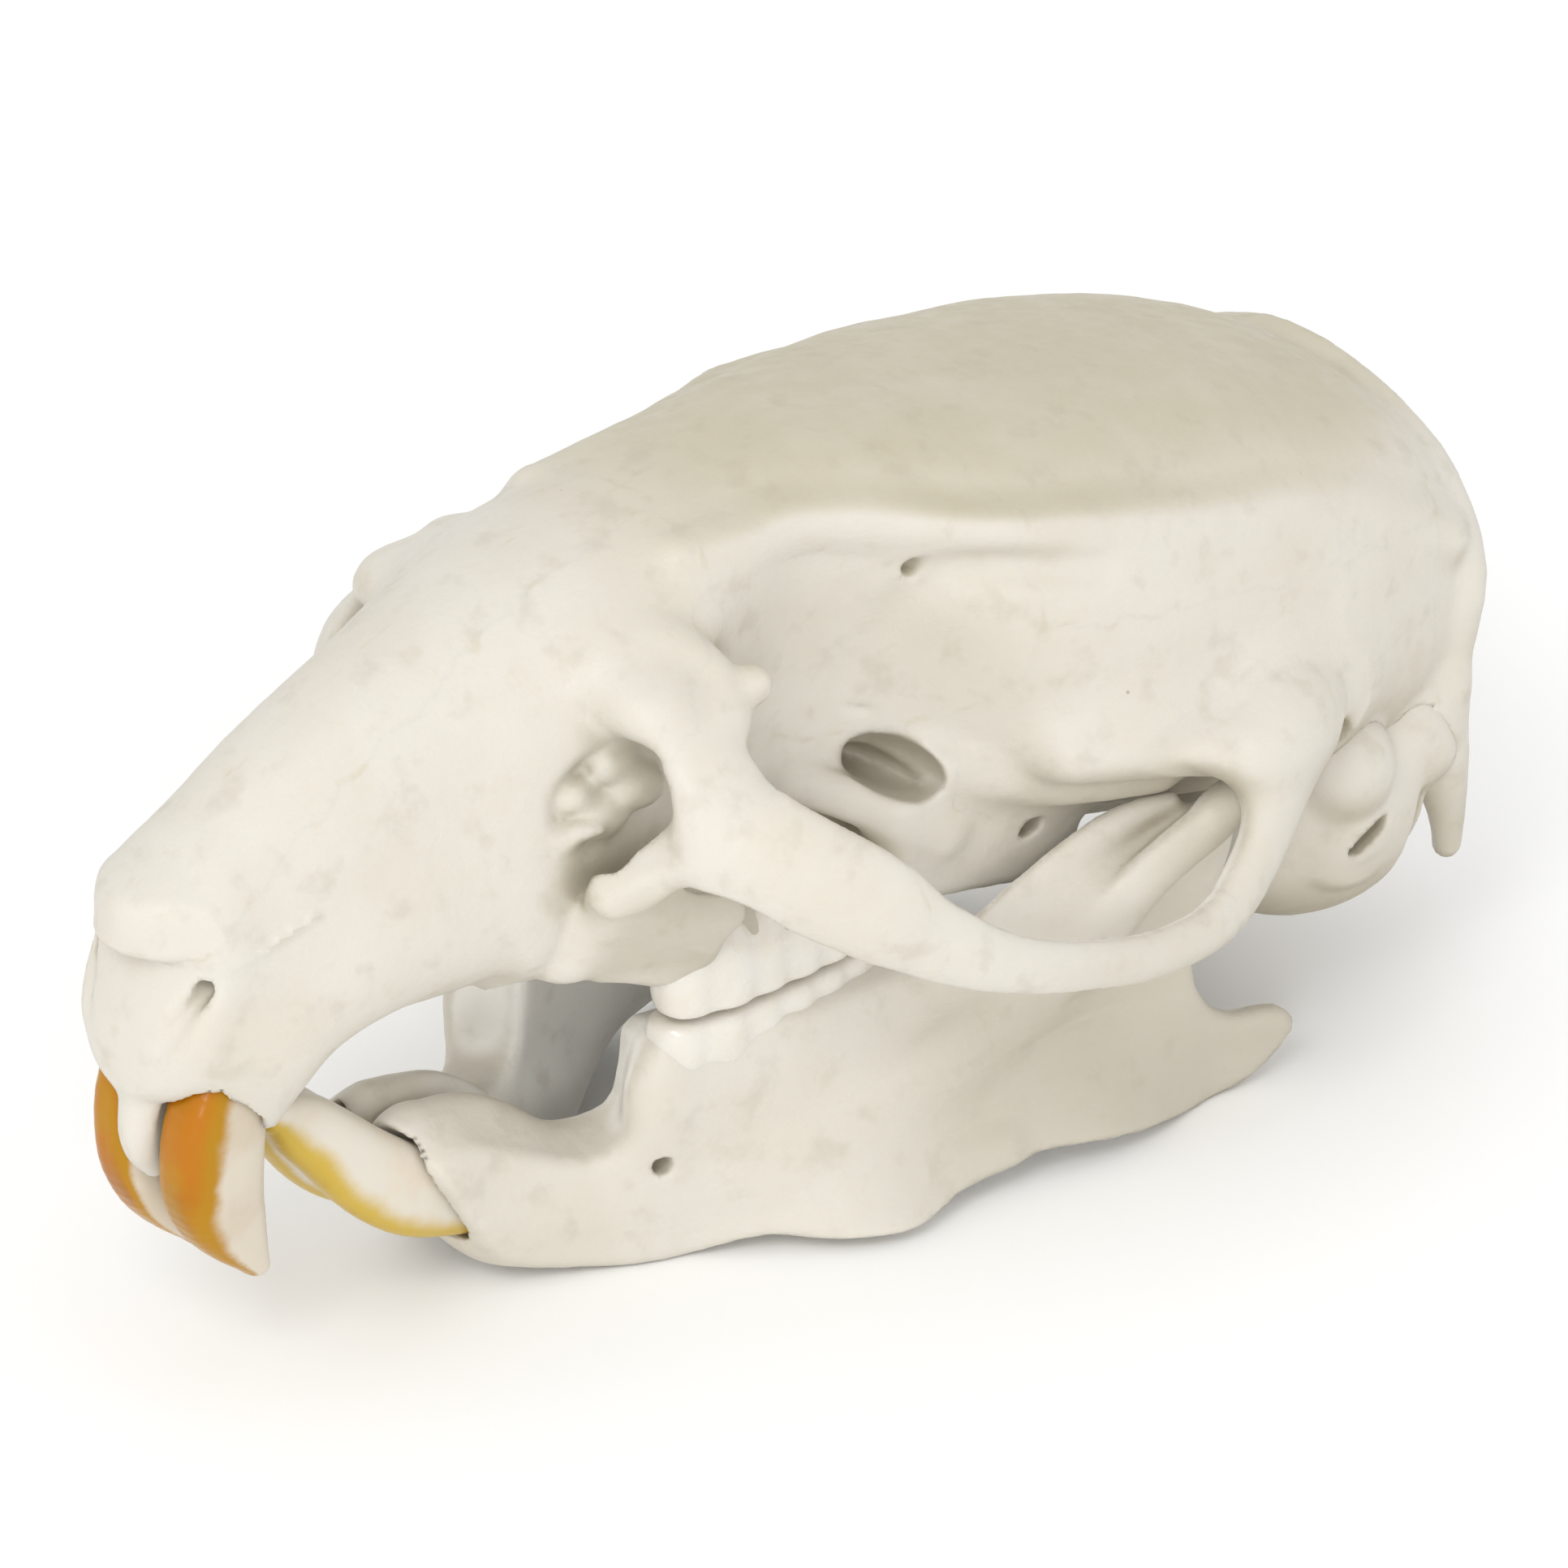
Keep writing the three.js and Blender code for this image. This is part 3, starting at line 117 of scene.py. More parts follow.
# Shapes. Each has a box, and tells how far the points of a grid in that box are from its skin.
class Egg:
    """Egg with three half-axes, leaned by a pitch in the side view and a yaw in the top view."""
    def __init__(self, cx, cw, cz, rx, rw, rz, pitch=0.0, yaw=0.0):
        self.c, self.r, self.pitch, self.yaw = (cx, cw, cz), (rx, rw, rz), pitch, yaw
        reach = max(self.r)
        if pitch == 0 and yaw == 0:
            self.lo, self.hi = np.subtract(self.c, self.r), np.add(self.c, self.r)
        else:
            self.lo, self.hi = np.subtract(self.c, reach), np.add(self.c, reach)

    def values(self, x, w, z, margin):
        dx, dw, dz = x - self.c[0], w - self.c[1], z - self.c[2]
        cp, sp, cy, sy = math.cos(self.pitch), math.sin(self.pitch), math.cos(self.yaw), math.sin(self.yaw)
        ax, aw = dx * cy + dw * sy, dw * cy - dx * sy
        px, pw, pz = (ax * cp + dz * sp) / self.r[0], aw / self.r[1], (dz * cp - ax * sp) / self.r[2]
        k0 = np.sqrt(px**2 + pw**2 + pz**2)
        k1 = np.sqrt((px / self.r[0])**2 + (pw / self.r[1])**2 + (pz / self.r[2])**2)
        return k0 * (k0 - 1) / np.maximum(k1, 1e-4)


class Bar:
    """Bar along a smooth curve. Rows: x, w, z, half-thickness, half-height, thin direction (x, w, z)."""
    def __init__(self, rows, steps=4, square=2.0):
        self.p, self.square = finer([full_row(row) for row in rows], steps), square
        size = self.p[:, 3:5].max(1)
        self.lo, self.hi = (self.p[:, :3] - size[:, None]).min(0), (self.p[:, :3] + size[:, None]).max(0)

    def values(self, x, w, z, margin):
        axes = [x.ravel(), w.ravel(), z.ravel()]
        shape = tuple(len(a) for a in axes)
        best, where = np.full(shape, UNKNOWN, np.float32), np.zeros(shape, np.float32)
        for i, (a, b) in enumerate(zip(self.p[:-1], self.p[1:])):
            reach = max(a[3], a[4], b[3], b[4]) + margin
            cut = within(axes, np.minimum(a, b)[:3] - reach, np.maximum(a, b)[:3] + reach)
            q = [x[cut[0]] - a[0], w[:, cut[1]] - a[1], z[:, :, cut[2]] - a[2]]
            e = b[:3] - a[:3]
            t = np.clip((q[0] * e[0] + q[1] * e[1] + q[2] * e[2]) / max(e @ e, 1e-9), 0, 1)
            d = (q[0] - e[0] * t)**2 + (q[1] - e[1] * t)**2 + (q[2] - e[2] * t)**2
            near = d < best[cut]
            where[cut] = np.where(near, i + t, where[cut])
            best[cut] = np.where(near, d, best[cut])
        known = best < UNKNOWN / 10
        at, dist = where[known].astype(float), best[known].astype(float)
        i = np.minimum(at.astype(int), len(self.p) - 2)
        t = (at - i)[:, None]
        v = self.p[i] * (1 - t) + self.p[i + 1] * t
        at3 = np.nonzero(known)
        q = np.stack([axes[j][at3[j]] - v[:, j] for j in range(3)], 1)
        n = v[:, 5:8] / np.linalg.norm(v[:, 5:8], axis=1)[:, None]
        s = (q * n).sum(1)
        rest = np.sqrt(np.maximum(dist - s * s, 0))
        k = ((np.abs(s) / v[:, 3])**self.square + (rest / v[:, 4])**self.square)**(1 / self.square)
        out = np.full(shape, FAR, np.float32)
        out[known] = (k - 1) * np.minimum(v[:, 3], v[:, 4])
        return out


class Blade:
    """Flat bone: an outline in the side view, a middle surface w(x, z) and a half-thickness t(x, z)."""
    def __init__(self, outline, steps, middle, thick, rounding=0.5, w=(0, 13)):
        self.p, self.middle, self.thick, self.rounding = finer(outline, steps, True), middle, thick, rounding
        self.lo = np.array([self.p[:, 0].min(), w[0], self.p[:, 1].min()])
        self.hi = np.array([self.p[:, 0].max(), w[1], self.p[:, 1].max()])

    def values(self, x, w, z, margin):
        edge = outline_distance(self.p, x, z)
        m = self.middle(x, z)
        mx, mz = self.middle(x + PROBE, z) - m, self.middle(x, z + PROBE) - m
        face = np.abs(w - m) / np.sqrt(1 + (mx**2 + mz**2) / PROBE**2) - self.thick(x, z)
        return soft_max(edge, face, self.rounding)


def outline_distance(p, x, z):
    """Distance to a closed outline in the side view, below zero inside."""
    p = np.asarray(p, float)
    best, inside = np.full(np.broadcast_shapes(x.shape, z.shape), UNKNOWN), False
    for a, b in zip(p, np.roll(p, -1, axis=0)):
        e = b - a
        t = np.clip(((x - a[0]) * e[0] + (z - a[1]) * e[1]) / max(e @ e, 1e-9), 0, 1)
        best = np.minimum(best, (x - a[0] - e[0] * t)**2 + (z - a[1] - e[1] * t)**2)
        if a[1] != b[1]:
            inside = inside ^ (((a[1] > z) != (b[1] > z)) & (x < a[0] + (z - a[1]) / (b[1] - a[1]) * e[0]))
    return np.where(inside, -1, 1) * np.sqrt(best)


class Hull:
    """Rows: x, half-width, top, bottom, height of the widest line, roundness above, below."""
    def __init__(self, table):
        t = np.array(table)
        self.t = table
        self.lo = np.array([t[0, 0], 0, t[:, 3].min()])
        self.hi = np.array([t[-1, 0], t[:, 1].max(), t[:, 2].max()])

    def values(self, x, w, z, margin):
        half, top, low, wide, up, down = np.moveaxis(along(self.t, x), -1, 0)
        above = z > wide
        h, n = np.where(above, top - wide, wide - low), np.where(above, up, down)
        k = ((np.abs(w) / half)**n + (np.abs(z - wide) / h)**n)**(1 / n)
        off = np.maximum(self.t[0][0] - x, x - self.t[-1][0])
        return np.maximum((k - 1) * np.minimum(half, h), off)


class Formula:
    """Any function of x, w and z within a box."""
    def __init__(self, lo, hi, f):
        self.lo, self.hi, self.f = np.array(lo, float), np.array(hi, float), f

    def values(self, x, w, z, margin):
        return self.f(x, w, z)


class Both:
    """What two shapes have in common."""
    def __init__(self, a, f, k):
        self.a, self.f, self.k, self.lo, self.hi = a, f, k, a.lo, a.hi

    def values(self, x, w, z, margin):
        return soft_max(self.a.values(x, w, z, margin), self.f(x, w, z), self.k)


class Grid:
    """Distances on a regular grid; shapes are joined to it and cut from it one after another."""
    def __init__(self, lo, hi, cell):
        self.lo, self.cell = np.array(lo, float), cell
        n = [int(math.ceil((hi[a] - lo[a]) / cell)) + 1 for a in range(3)]
        self.axes = [self.lo[a] + cell * np.arange(n[a]) for a in range(3)]
        self.v = np.full(n, FAR, np.float32)

    def near(self, shape, margin):
        """The part of the grid near a shape, and the shape's values there."""
        cut = within(self.axes, np.subtract(shape.lo, margin), np.add(shape.hi, margin))
        x, w, z = self.axes[0][cut[0]], self.axes[1][cut[1]], self.axes[2][cut[2]]
        return cut, shape.values(x[:, None, None], w[None, :, None], z[None, None, :], margin)

    def join(self, shape, k):
        cut, v = self.near(shape, k + 0.5)
        self.v[cut] = soft_min(self.v[cut], v, k)
        return self

    def cut(self, shape, k, grow=0.0):
        cut, v = self.near(shape, k + 0.5 + grow)
        self.v[cut] = -soft_min(-self.v[cut], v - grow, k)
        return self

    def meet(self, shape, k):
        cut, v = self.near(shape, 0)
        self.v[cut] = soft_max(self.v[cut], v, k)
        return self

    def at(self, p):
        """Values between the grid points."""
        q = np.clip((p - self.lo) / self.cell, 0, np.array(self.v.shape) - 1.001)
        i = q.astype(int)
        f = q - i
        return sum(share * self.v[tuple((i + corner).T)] for corner, share in corner_shares(f))

    def slope(self, p):
        """Direction in which the values rise fastest, which is out of the skin."""
        g = np.stack([self.at(p + s) - self.at(p - s) for s in np.eye(3) * self.cell * 0.75], 1)
        return g / np.maximum(np.linalg.norm(g, axis=1)[:, None], 1e-9)

    def mirrored(self):
        """The same grid with its mirror image on the other side of w = 0, where its first layer lies."""
        both = Grid.__new__(Grid)
        both.cell, both.lo = self.cell, self.lo.copy()
        both.v = np.concatenate([self.v[:, :0:-1], self.v], axis=1)
        both.lo[1] = -self.axes[1][-1]
        both.axes = [self.axes[0], both.lo[1] + self.cell * np.arange(both.v.shape[1]), self.axes[2]]
        return both


def skin(grid):
    """Closed skin of four-sided faces on the zero level."""
    tiny = 1e-5
    v = np.where(np.abs(grid.v) < tiny, tiny, grid.v)
    n = np.array(v.shape)
    inside = v < 0
    corners = [(a, b, c) for a in (0, 1) for b in (0, 1) for c in (0, 1)]
    count = sum(inside[a:n[0] - 1 + a, b:n[1] - 1 + b, c:n[2] - 1 + c].astype(np.int8) for a, b, c in corners)
    cells = np.nonzero((count > 0) & (count < 8))
    index = np.full(n - 1, -1, np.int64)
    index[cells] = np.arange(len(cells[0]))
    corner = {k: v[cells[0] + k[0], cells[1] + k[1], cells[2] + k[2]].astype(float) for k in corners}
    total, hits = np.zeros((len(cells[0]), 3)), np.zeros(len(cells[0]))
    for a in corners:
        for axis in range(3):
            if a[axis] == 1:
                continue
            b = tuple(1 if j == axis else a[j] for j in range(3))
            crossed = (corner[a] < 0) != (corner[b] < 0)
            t = np.where(crossed, corner[a] / np.where(crossed, corner[a] - corner[b], 1), 0)
            spot = np.array(a, float)[None] + t[:, None] * np.eye(3)[axis]
            total += spot * crossed[:, None]
            hits += crossed
    points = grid.lo + grid.cell * (np.stack(cells, 1) + total / hits[:, None])
    faces = []
    for axis in range(3):
        u, t = (axis + 1) % 3, (axis + 2) % 3
        lo, hi = [slice(None)] * 3, [slice(None)] * 3
        lo[axis], hi[axis] = slice(0, -1), slice(1, None)
        c = np.argwhere(inside[tuple(lo)] != inside[tuple(hi)])
        c = c[(c[:, u] > 0) & (c[:, t] > 0) & (c[:, u] < n[u] - 1) & (c[:, t] < n[t] - 1)]
        first = inside[c[:, 0], c[:, 1], c[:, 2]]
        du, dt = np.eye(3, dtype=int)[u], np.eye(3, dtype=int)[t]
        quad = [index[tuple((c - a * du - b * dt).T)] for a, b in ((1, 1), (0, 1), (0, 0), (1, 0))]
        quad = np.stack(quad, 1)
        quad[~first] = quad[~first][:, ::-1]
        faces.append(quad)
    return points, np.concatenate(faces)


SPREAD = (73856093, 19349663, 83492791)  # large numbers that keep the values of neighbouring points unlike
SEED_SPREAD, STIR, STIR_AGAIN = 40503, 1274126177, 668265263


def noise(p, size, seed):
    """Smooth random value from -1 to 1 at each point, with bumps of the given size."""
    q = p / size + 1000  # which keeps every cell's number above zero
    i = np.floor(q).astype(np.int64)
    f = q - i
    f = f * f * (3 - 2 * f)
    out = 0
    for corner, share in corner_shares(f):
        h = np.bitwise_xor.reduce((i + corner) * SPREAD, axis=1) ^ (seed * SEED_SPREAD)
        h = (h ^ (h >> 13)) * STIR & 0xffffffff
        h = (h ^ (h >> 15)) * STIR_AGAIN & 0xffffffff
        out = out + share * (((h >> 8) & 0xffff) / 32767.5 - 1)
    return out


# Tables of the skull. HEAD, SHELF and NOSE have the rows of a hull, and ARCH and the teeth those of a bar.
HEAD = [
    [0.5, 2.25, 15.2, 9.6, 12.6, 2.2, 2.2], [2.0, 2.70, 16.2, 8.7, 12.3, 2.2, 2.6],
    [3.6, 2.90, 17.2, 7.2, 12.2, 2.2, 3.2], [4.6, 3.00, 17.8, 7.8, 12.5, 2.2, 3.0],
    [6.0, 3.10, 18.5, 9.1, 12.9, 2.3, 2.4], [8.0, 3.30, 19.4, 9.45, 13.3, 2.3, 2.2],
    [10.0, 3.50, 20.2, 9.25, 13.8, 2.3, 2.2], [12.0, 4.00, 20.8, 9.1, 15.4, 2.2, 2.1],
    [14.0, 4.40, 21.3, 9.2, 16.8, 2.2, 1.9], [16.0, 4.50, 21.6, 9.0, 17.8, 2.2, 1.8],
    [18.0, 4.40, 21.8, 8.9, 18.9, 2.2, 1.9], [20.0, 3.90, 22.0, 8.8, 19.8, 2.3, 2.0],
    [22.0, 3.70, 22.3, 8.6, 20.0, 2.5, 2.0], [24.0, 4.45, 22.4, 8.6, 19.3, 2.6, 1.9],
    [26.0, 5.70, 22.3, 8.8, 17.6, 2.5, 1.9], [28.0, 7.00, 22.1, 8.8, 16.2, 2.5, 2.0],
    [30.0, 7.75, 21.9, 8.6, 15.2, 2.5, 2.1], [33.0, 8.20, 21.5, 8.2, 14.6, 2.5, 2.3],
    [37.0, 8.30, 20.8, 7.5, 14.0, 2.5, 2.5], [40.0, 8.10, 20.0, 6.9, 13.4, 2.5, 2.6],
    [43.0, 7.40, 18.8, 6.8, 12.8, 2.5, 2.6], [44.8, 6.80, 17.5, 7.2, 12.4, 2.4, 2.4],
    [46.0, 5.50, 15.4, 8.0, 11.8, 2.2, 2.2],
]
SHELF = [
    [12.5, 2.4, 11.5, 9.5, 10.6, 2.4, 2.6], [14.5, 3.3, 11.2, 9.1, 10.2, 2.6, 3.0],
    [16.5, 4.6, 11.0, 8.4, 9.7, 2.6, 3.4], [19.0, 5.0, 10.9, 8.1, 9.5, 2.6, 3.6],
    [22.0, 5.0, 10.8, 7.9, 9.3, 2.6, 3.6], [24.5, 4.5, 10.6, 7.7, 9.1, 2.6, 3.4],
    [26.5, 3.4, 10.4, 8.0, 9.2, 2.4, 2.8],
]
ARCH = [
    [15.6, 4.3, 18.9, 0.70, 1.50, 0, 0.55, 0.85], [15.7, 5.9, 17.9, 0.60, 1.25, 0, 0.70, 0.70],
    [15.6, 7.0, 16.6, 0.55, 1.3, -0.2, 0.90, 0.40], [15.9, 8.2, 15.1, 0.55, 1.45, -0.4, 0.90, 0.20],
    [18.0, 10.1, 13.3, 0.55, 1.40, -0.4, 0.90, 0.1], [20.0, 11.1, 11.7, 0.52, 1.15, -0.3, 0.95, 0],
    [22.3, 11.7, 10.4, 0.50, 0.85, -0.1, 1, 0], [25.0, 11.9, 9.5, 0.48, 0.72, 0, 1, 0],
    [28.0, 11.6, 8.7, 0.50, 0.70, 0.1, 1, 0], [30.8, 11.0, 8.5, 0.55, 0.72, 0.2, 1, 0],
    [33.0, 10.2, 9.3, 0.62, 0.95, 0.3, 1, 0], [34.6, 9.5, 10.8, 0.70, 1.15, 0.3, 1, 0.1],
    [35.4, 8.7, 12.3, 0.80, 1.30, 0.2, 1, 0.3], [35.6, 7.6, 13.6, 0.90, 1.60, 0, 1, 0.4],
]
BROW = [[18.0, 3.3, 21.2], [19.8, 3.4, 21.1], [21.6, 3.6, 21.15], [23.8, 4.35, 20.75], [26.2, 5.75, 20.3],
        [28.0, 6.5, 20.0], [30.5, 6.85, 19.45], [33.5, 7.05, 18.6], [37.6, 7.0, 17.7], [40.4, 7.0, 16.6],
        [43.6, 7.2, 14.9]]
CREST = [[44.2, -0.8, 18.2], [44.3, 1.2, 18.05], [44.6, 3.5, 17.1], [44.7, 5.6, 15.6], [44.5, 6.95, 13.3],
         [44.1, 6.75, 10.8], [43.5, 6.8, 8.8]]
NOSE = [[-0.6, 1.7, 14.9, 13.9, 14.1, 2.0, 2.0], [0.6, 2.3, 15.5, 13.8, 14.0, 2.1, 2.0],
        [2.5, 2.65, 16.45, 13.6, 13.9, 2.1, 2.0], [5.0, 2.30, 17.6, 14.3, 14.6, 2.2, 2.0]]
UPPER_TOOTH = [[4.7, 1.4, 11.8, 0.6, 0.8], [3.5, 1.4, 10.3, 0.75, 1.1], [2.75, 1.42, 8.8, 0.93, 1.42],
               [2.62, 1.34, 7.2, 0.95, 1.48], [2.85, 1.22, 6.0, 0.94, 1.35], [3.35, 1.14, 4.85, 0.9, 0.98],
               [3.95, 1.08, 3.75, 0.84, 0.42]]
LOWER_TOOTH = [[13.0, 1.55, 2.5, 0.55, 0.75], [11.4, 1.42, 2.95, 0.66, 1.0], [9.8, 1.3, 3.7, 0.8, 1.25],
               [8.4, 1.16, 4.7, 0.8, 1.22], [7.0, 0.95, 6.1, 0.76, 1.05], [6.1, 0.8, 6.95, 0.64, 0.92],
               [5.35, 0.74, 7.5, 0.56, 0.56]]
TOOTH_SHEATH = [[4.6, 1.9, 11.0, 1.0, 1.2], [7.5, 2.5, 12.4, 1.0, 1.5], [10.5, 2.9, 13.0, 1.0, 1.8],
                [12.6, 3.3, 12.9, 0.95, 1.9]]
LOWER_ROOT = [[13.3, 5.6, 13.4, 0.4, 0.6, -0.3, 0.8, 0.5], [14.1, 6.25, 13.9, 0.42, 0.8, -0.3, 0.8, 0.5],
              [14.8, 7.0, 14.5, 0.45, 0.9, -0.35, 0.85, 0.4], [15.6, 8.3, 14.7, 0.45, 0.95, -0.4, 0.9, 0.2],
              [16.9, 9.5, 14.0, 0.45, 0.9, -0.4, 0.9, 0.1], [18.6, 10.5, 12.9, 0.4, 0.75, -0.4, 0.9, 0.1]]
PLATE = [[14.0, 9.8], [13.5, 11.3], [12.9, 12.8], [12.9, 13.4], [13.4, 14.0], [14.2, 14.4], [15.6, 14.5],
         [16.9, 13.4], [17.7, 11.6], [17.3, 9.6], [15.6, 9.3]]
INNER_WING = [[24.5, 10.6], [25.0, 8.5], [27.0, 7.3], [29.5, 6.8], [32.0, 6.5], [33.0, 7.6], [32.4, 9.6],
              [28.5, 11]]
OUTER_WING = [[24.4, 11.6], [24.7, 9.8], [25.6, 8.5], [27.4, 8.1], [29.6, 7.8], [30.9, 8.2], [31.2, 10],
              [30.5, 12.4], [26.5, 12.8]]
SCROLLS = ((14.6, 4.1, 16.3, 0.6), (13.4, 3.9, 15.6, 0.5), (15.2, 4.5, 15.5, 0.6), (14.2, 4.1, 14.9, 0.65))
SOCKET_GAP = 0.1
# Molars: x, w, half-length and half-width of each lobe, from front to back.
LOBES = [[17.3, 4.0, 0.85, 0.9], [18.5, 4.1, 0.85, 1.05], [19.75, 4.1, 0.85, 1.02], [21.0, 4.1, 0.82, 1.0],
         [22.2, 4.05, 0.8, 0.94], [23.4, 3.95, 0.72, 0.86], [24.3, 3.85, 0.6, 0.72]]
BITE, BITE_GAP = 7.7, 0.12

upper_tooth = Bar(UPPER_TOOTH, 4, 3.0)
lower_tooth = Bar(LOWER_TOOTH, 4, 2.5)


# The skull without the lower jaw.
EAR_BOX = ([34, 0.6, 3.0], [46, 9.6, 12.0])


def ear(grid):
    """The ear capsule, its bony tube with a slit in it, and the knobs above and behind it."""
    grid.join(Egg(39.4, 5.3, 7.1, 4.0, 2.7, 3.3, -0.12, 0.25), 0.6)
    grid.join(Egg(39.3, 7.3, 9.0, 1.6, 1.3, 1.7, 0.3), 0.5)
    grid.join(Egg(42.3, 6.6, 8.8, 1.55, 1.05, 1.45, 0.2), 0.5)
    grid.join(Egg(43.0, 6.75, 8.1, 1.1, 0.85, 1.1), 0.4)
    grid.join(Egg(39.5, 7.35, 6.9, 1.5, 0.8, 1.05, 0.5), 0.4)
    grid.join(Bar([[38.3, 7.3, 6.1, 0.3], [39.1, 7.6, 5.7, 0.3], [40.2, 7.5, 5.9, 0.3],
                   [41.2, 7.2, 6.6, 0.25]]), 0.35)
    grid.cut(Egg(39.6, 8.2, 7.0, 0.8, 1.2, 0.22, 0.5), 0.15)
    grid.cut(Egg(42.1, 7.4, 5.9, 0.45, 0.9, 1.3, -0.2), 0.4)
    return grid


def ear_at(x, w, z):
    """The ear capsule's values on the points of another grid."""
    axes = (x, w, z)
    grid = Grid([axis.min() for axis in axes], [axis.max() for axis in axes], CELL)
    return ear(grid).v[:x.size, :w.size, :z.size]


def cheek(grid):
    """The arch of the cheek with its roots, the plate before the eye and the hollow of eye and temple."""
    grid.cut(Egg(21.6, 7.6, 15.2, 4.9, 4.3, 5.4, 0.25), 1.2)
    grid.join(Bar([[16.2, 4.4, 19.2, 0.6, 0.7], [17.0, 5.4, 18.6, 0.5, 0.6],
                   [17.0, 6.1, 17.7, 0.45, 0.55]]), 0.6)
    grid.join(Bar(ARCH), 0.9)
    grid.join(Bar(LOWER_ROOT), 0.8)
    grid.join(Blade(PLATE, 3, lambda x, z: 3.6 + 0.64 * (z - 10) + (x - 13.5) * (0.24 + 0.05 * (z - 9.5)),
                    lambda x, z: 0.42, 0.4), 0.5)
    grid.cut(Egg(16.0, 7.5, 12.2, 2.3, 1.6, 1.45, -0.3), 0.5)
    grid.join(Egg(15.0, 5.0, 18.2, 1.1, 1.2, 0.85), 0.8)
    grid.join(Egg(18.0, 5.9, 18.15, 0.62, 0.6, 0.58), 0.4)


def temple(grid):
    """The groove and ridge above the temple, and the shelf over the jaw's joint."""
    grid.cut(Bar([[29.6, 7.6, 18.4, 0.3], [28.1, 7.05, 18.8, 0.4], [26.4, 6.15, 18.95, 0.45],
                  [25.2, 5.55, 18.7, 0.5], [24.4, 5.0, 17.5, 0.5], [23.6, 4.5, 16.0, 0.45],
                  [23.2, 4.2, 15.0, 0.35]]), 0.7)
    grid.join(Bar([[28.6, 7.2, 12.8, 0.7, 0.5], [31.0, 7.9, 12.7, 0.9, 0.6], [33.2, 8.8, 12.4, 1.0, 0.7],
                   [35.3, 8.7, 12.4, 1.1, 0.9], [37.2, 8.0, 11.9, 0.7, 1.1]]), 2.0)
    sizes = [0.3] * 3 + [0.36] * (len(BROW) - 3)
    grid.join(Bar([[x, w - 0.3, z - 0.22, size] for (x, w, z), size in zip(BROW, sizes)], 3), 1.0)


def back_of_head(grid):
    """The crest, the face behind it with its opening, and the processes and knobs below."""
    grid.cut(Egg(51.6, 0, 13.6, 6.2, 9, 8.5, -0.2), 0.8)
    grid.join(Bar([p + [0.42] for p in CREST], 3), 0.7)
    grid.join(Egg(39.3, 7.05, 9.2, 1.45, 1.0, 1.45, 0.3), 0.5)
    grid.join(Egg(42.3, 6.45, 8.9, 1.4, 0.9, 1.3, 0.2), 0.5)
    grid.cut(Egg(37.7, 8.5, 10.9, 0.5, 0.9, 0.65), 0.3)
    grid.join(Bar([[43.6, 6.5, 9.5, 0.85, 1.1], [43.9, 6.55, 7.4, 0.75, 0.95], [44.35, 6.45, 5.7, 0.5, 0.62],
                   [44.6, 6.25, 4.4, 0.42, 0.45]]), 0.7)
    grid.join(Bar([[30, 0, 8.6, 0.8, 1.9, 0, 0, 1], [36, 0, 7.2, 0.8, 2.2, 0, 0, 1],
                   [42, 0, 6.6, 0.9, 2.4, 0, 0, 1], [45.6, 0, 7.6, 0.8, 2.2, 0, 0, 1]]), 0.9)
    grid.join(Egg(46.3, 2.3, 8.0, 1.0, 0.95, 1.7, 0.5), 0.5)
    grid.cut(Egg(47.6, 0, 10.6, 2.6, 2.5, 2.3, 0.3), 0.5)


def underside(grid):
    """The wings of bone below the brain, the ridges on them and the passage behind the palate."""
    grid.join(Blade(INNER_WING, 3, lambda x, z: 2.2 + 0.18 * (z - 6.5), lambda x, z: 0.4, 0.3), 0.4)
    grid.join(Blade(OUTER_WING, 3, lambda x, z: 4.0 + 0.16 * (z - 8) + 0.09 * (x - 25),
                    lambda x, z: 0.5, 0.4), 0.6)
    grid.join(Bar([[22.0, 3.0, 12.8, 0.5], [23.4, 3.9, 12.1, 0.6], [24.8, 4.3, 11.4, 0.7],
                   [26.2, 4.6, 10.5, 0.6]]), 0.8)
    grid.join(Bar([[25.6, 4.7, 12.9, 0.4], [26.8, 5.1, 12.3, 0.45], [28.4, 5.6, 11.6, 0.45],
                   [30.1, 6.0, 11.1, 0.4], [32.4, 6.8, 11.0, 0.4]]), 0.9)
    grid.cut(Egg(28.2, 0, 7.9, 3.9, 1.55, 1.5, -0.1), 0.5)


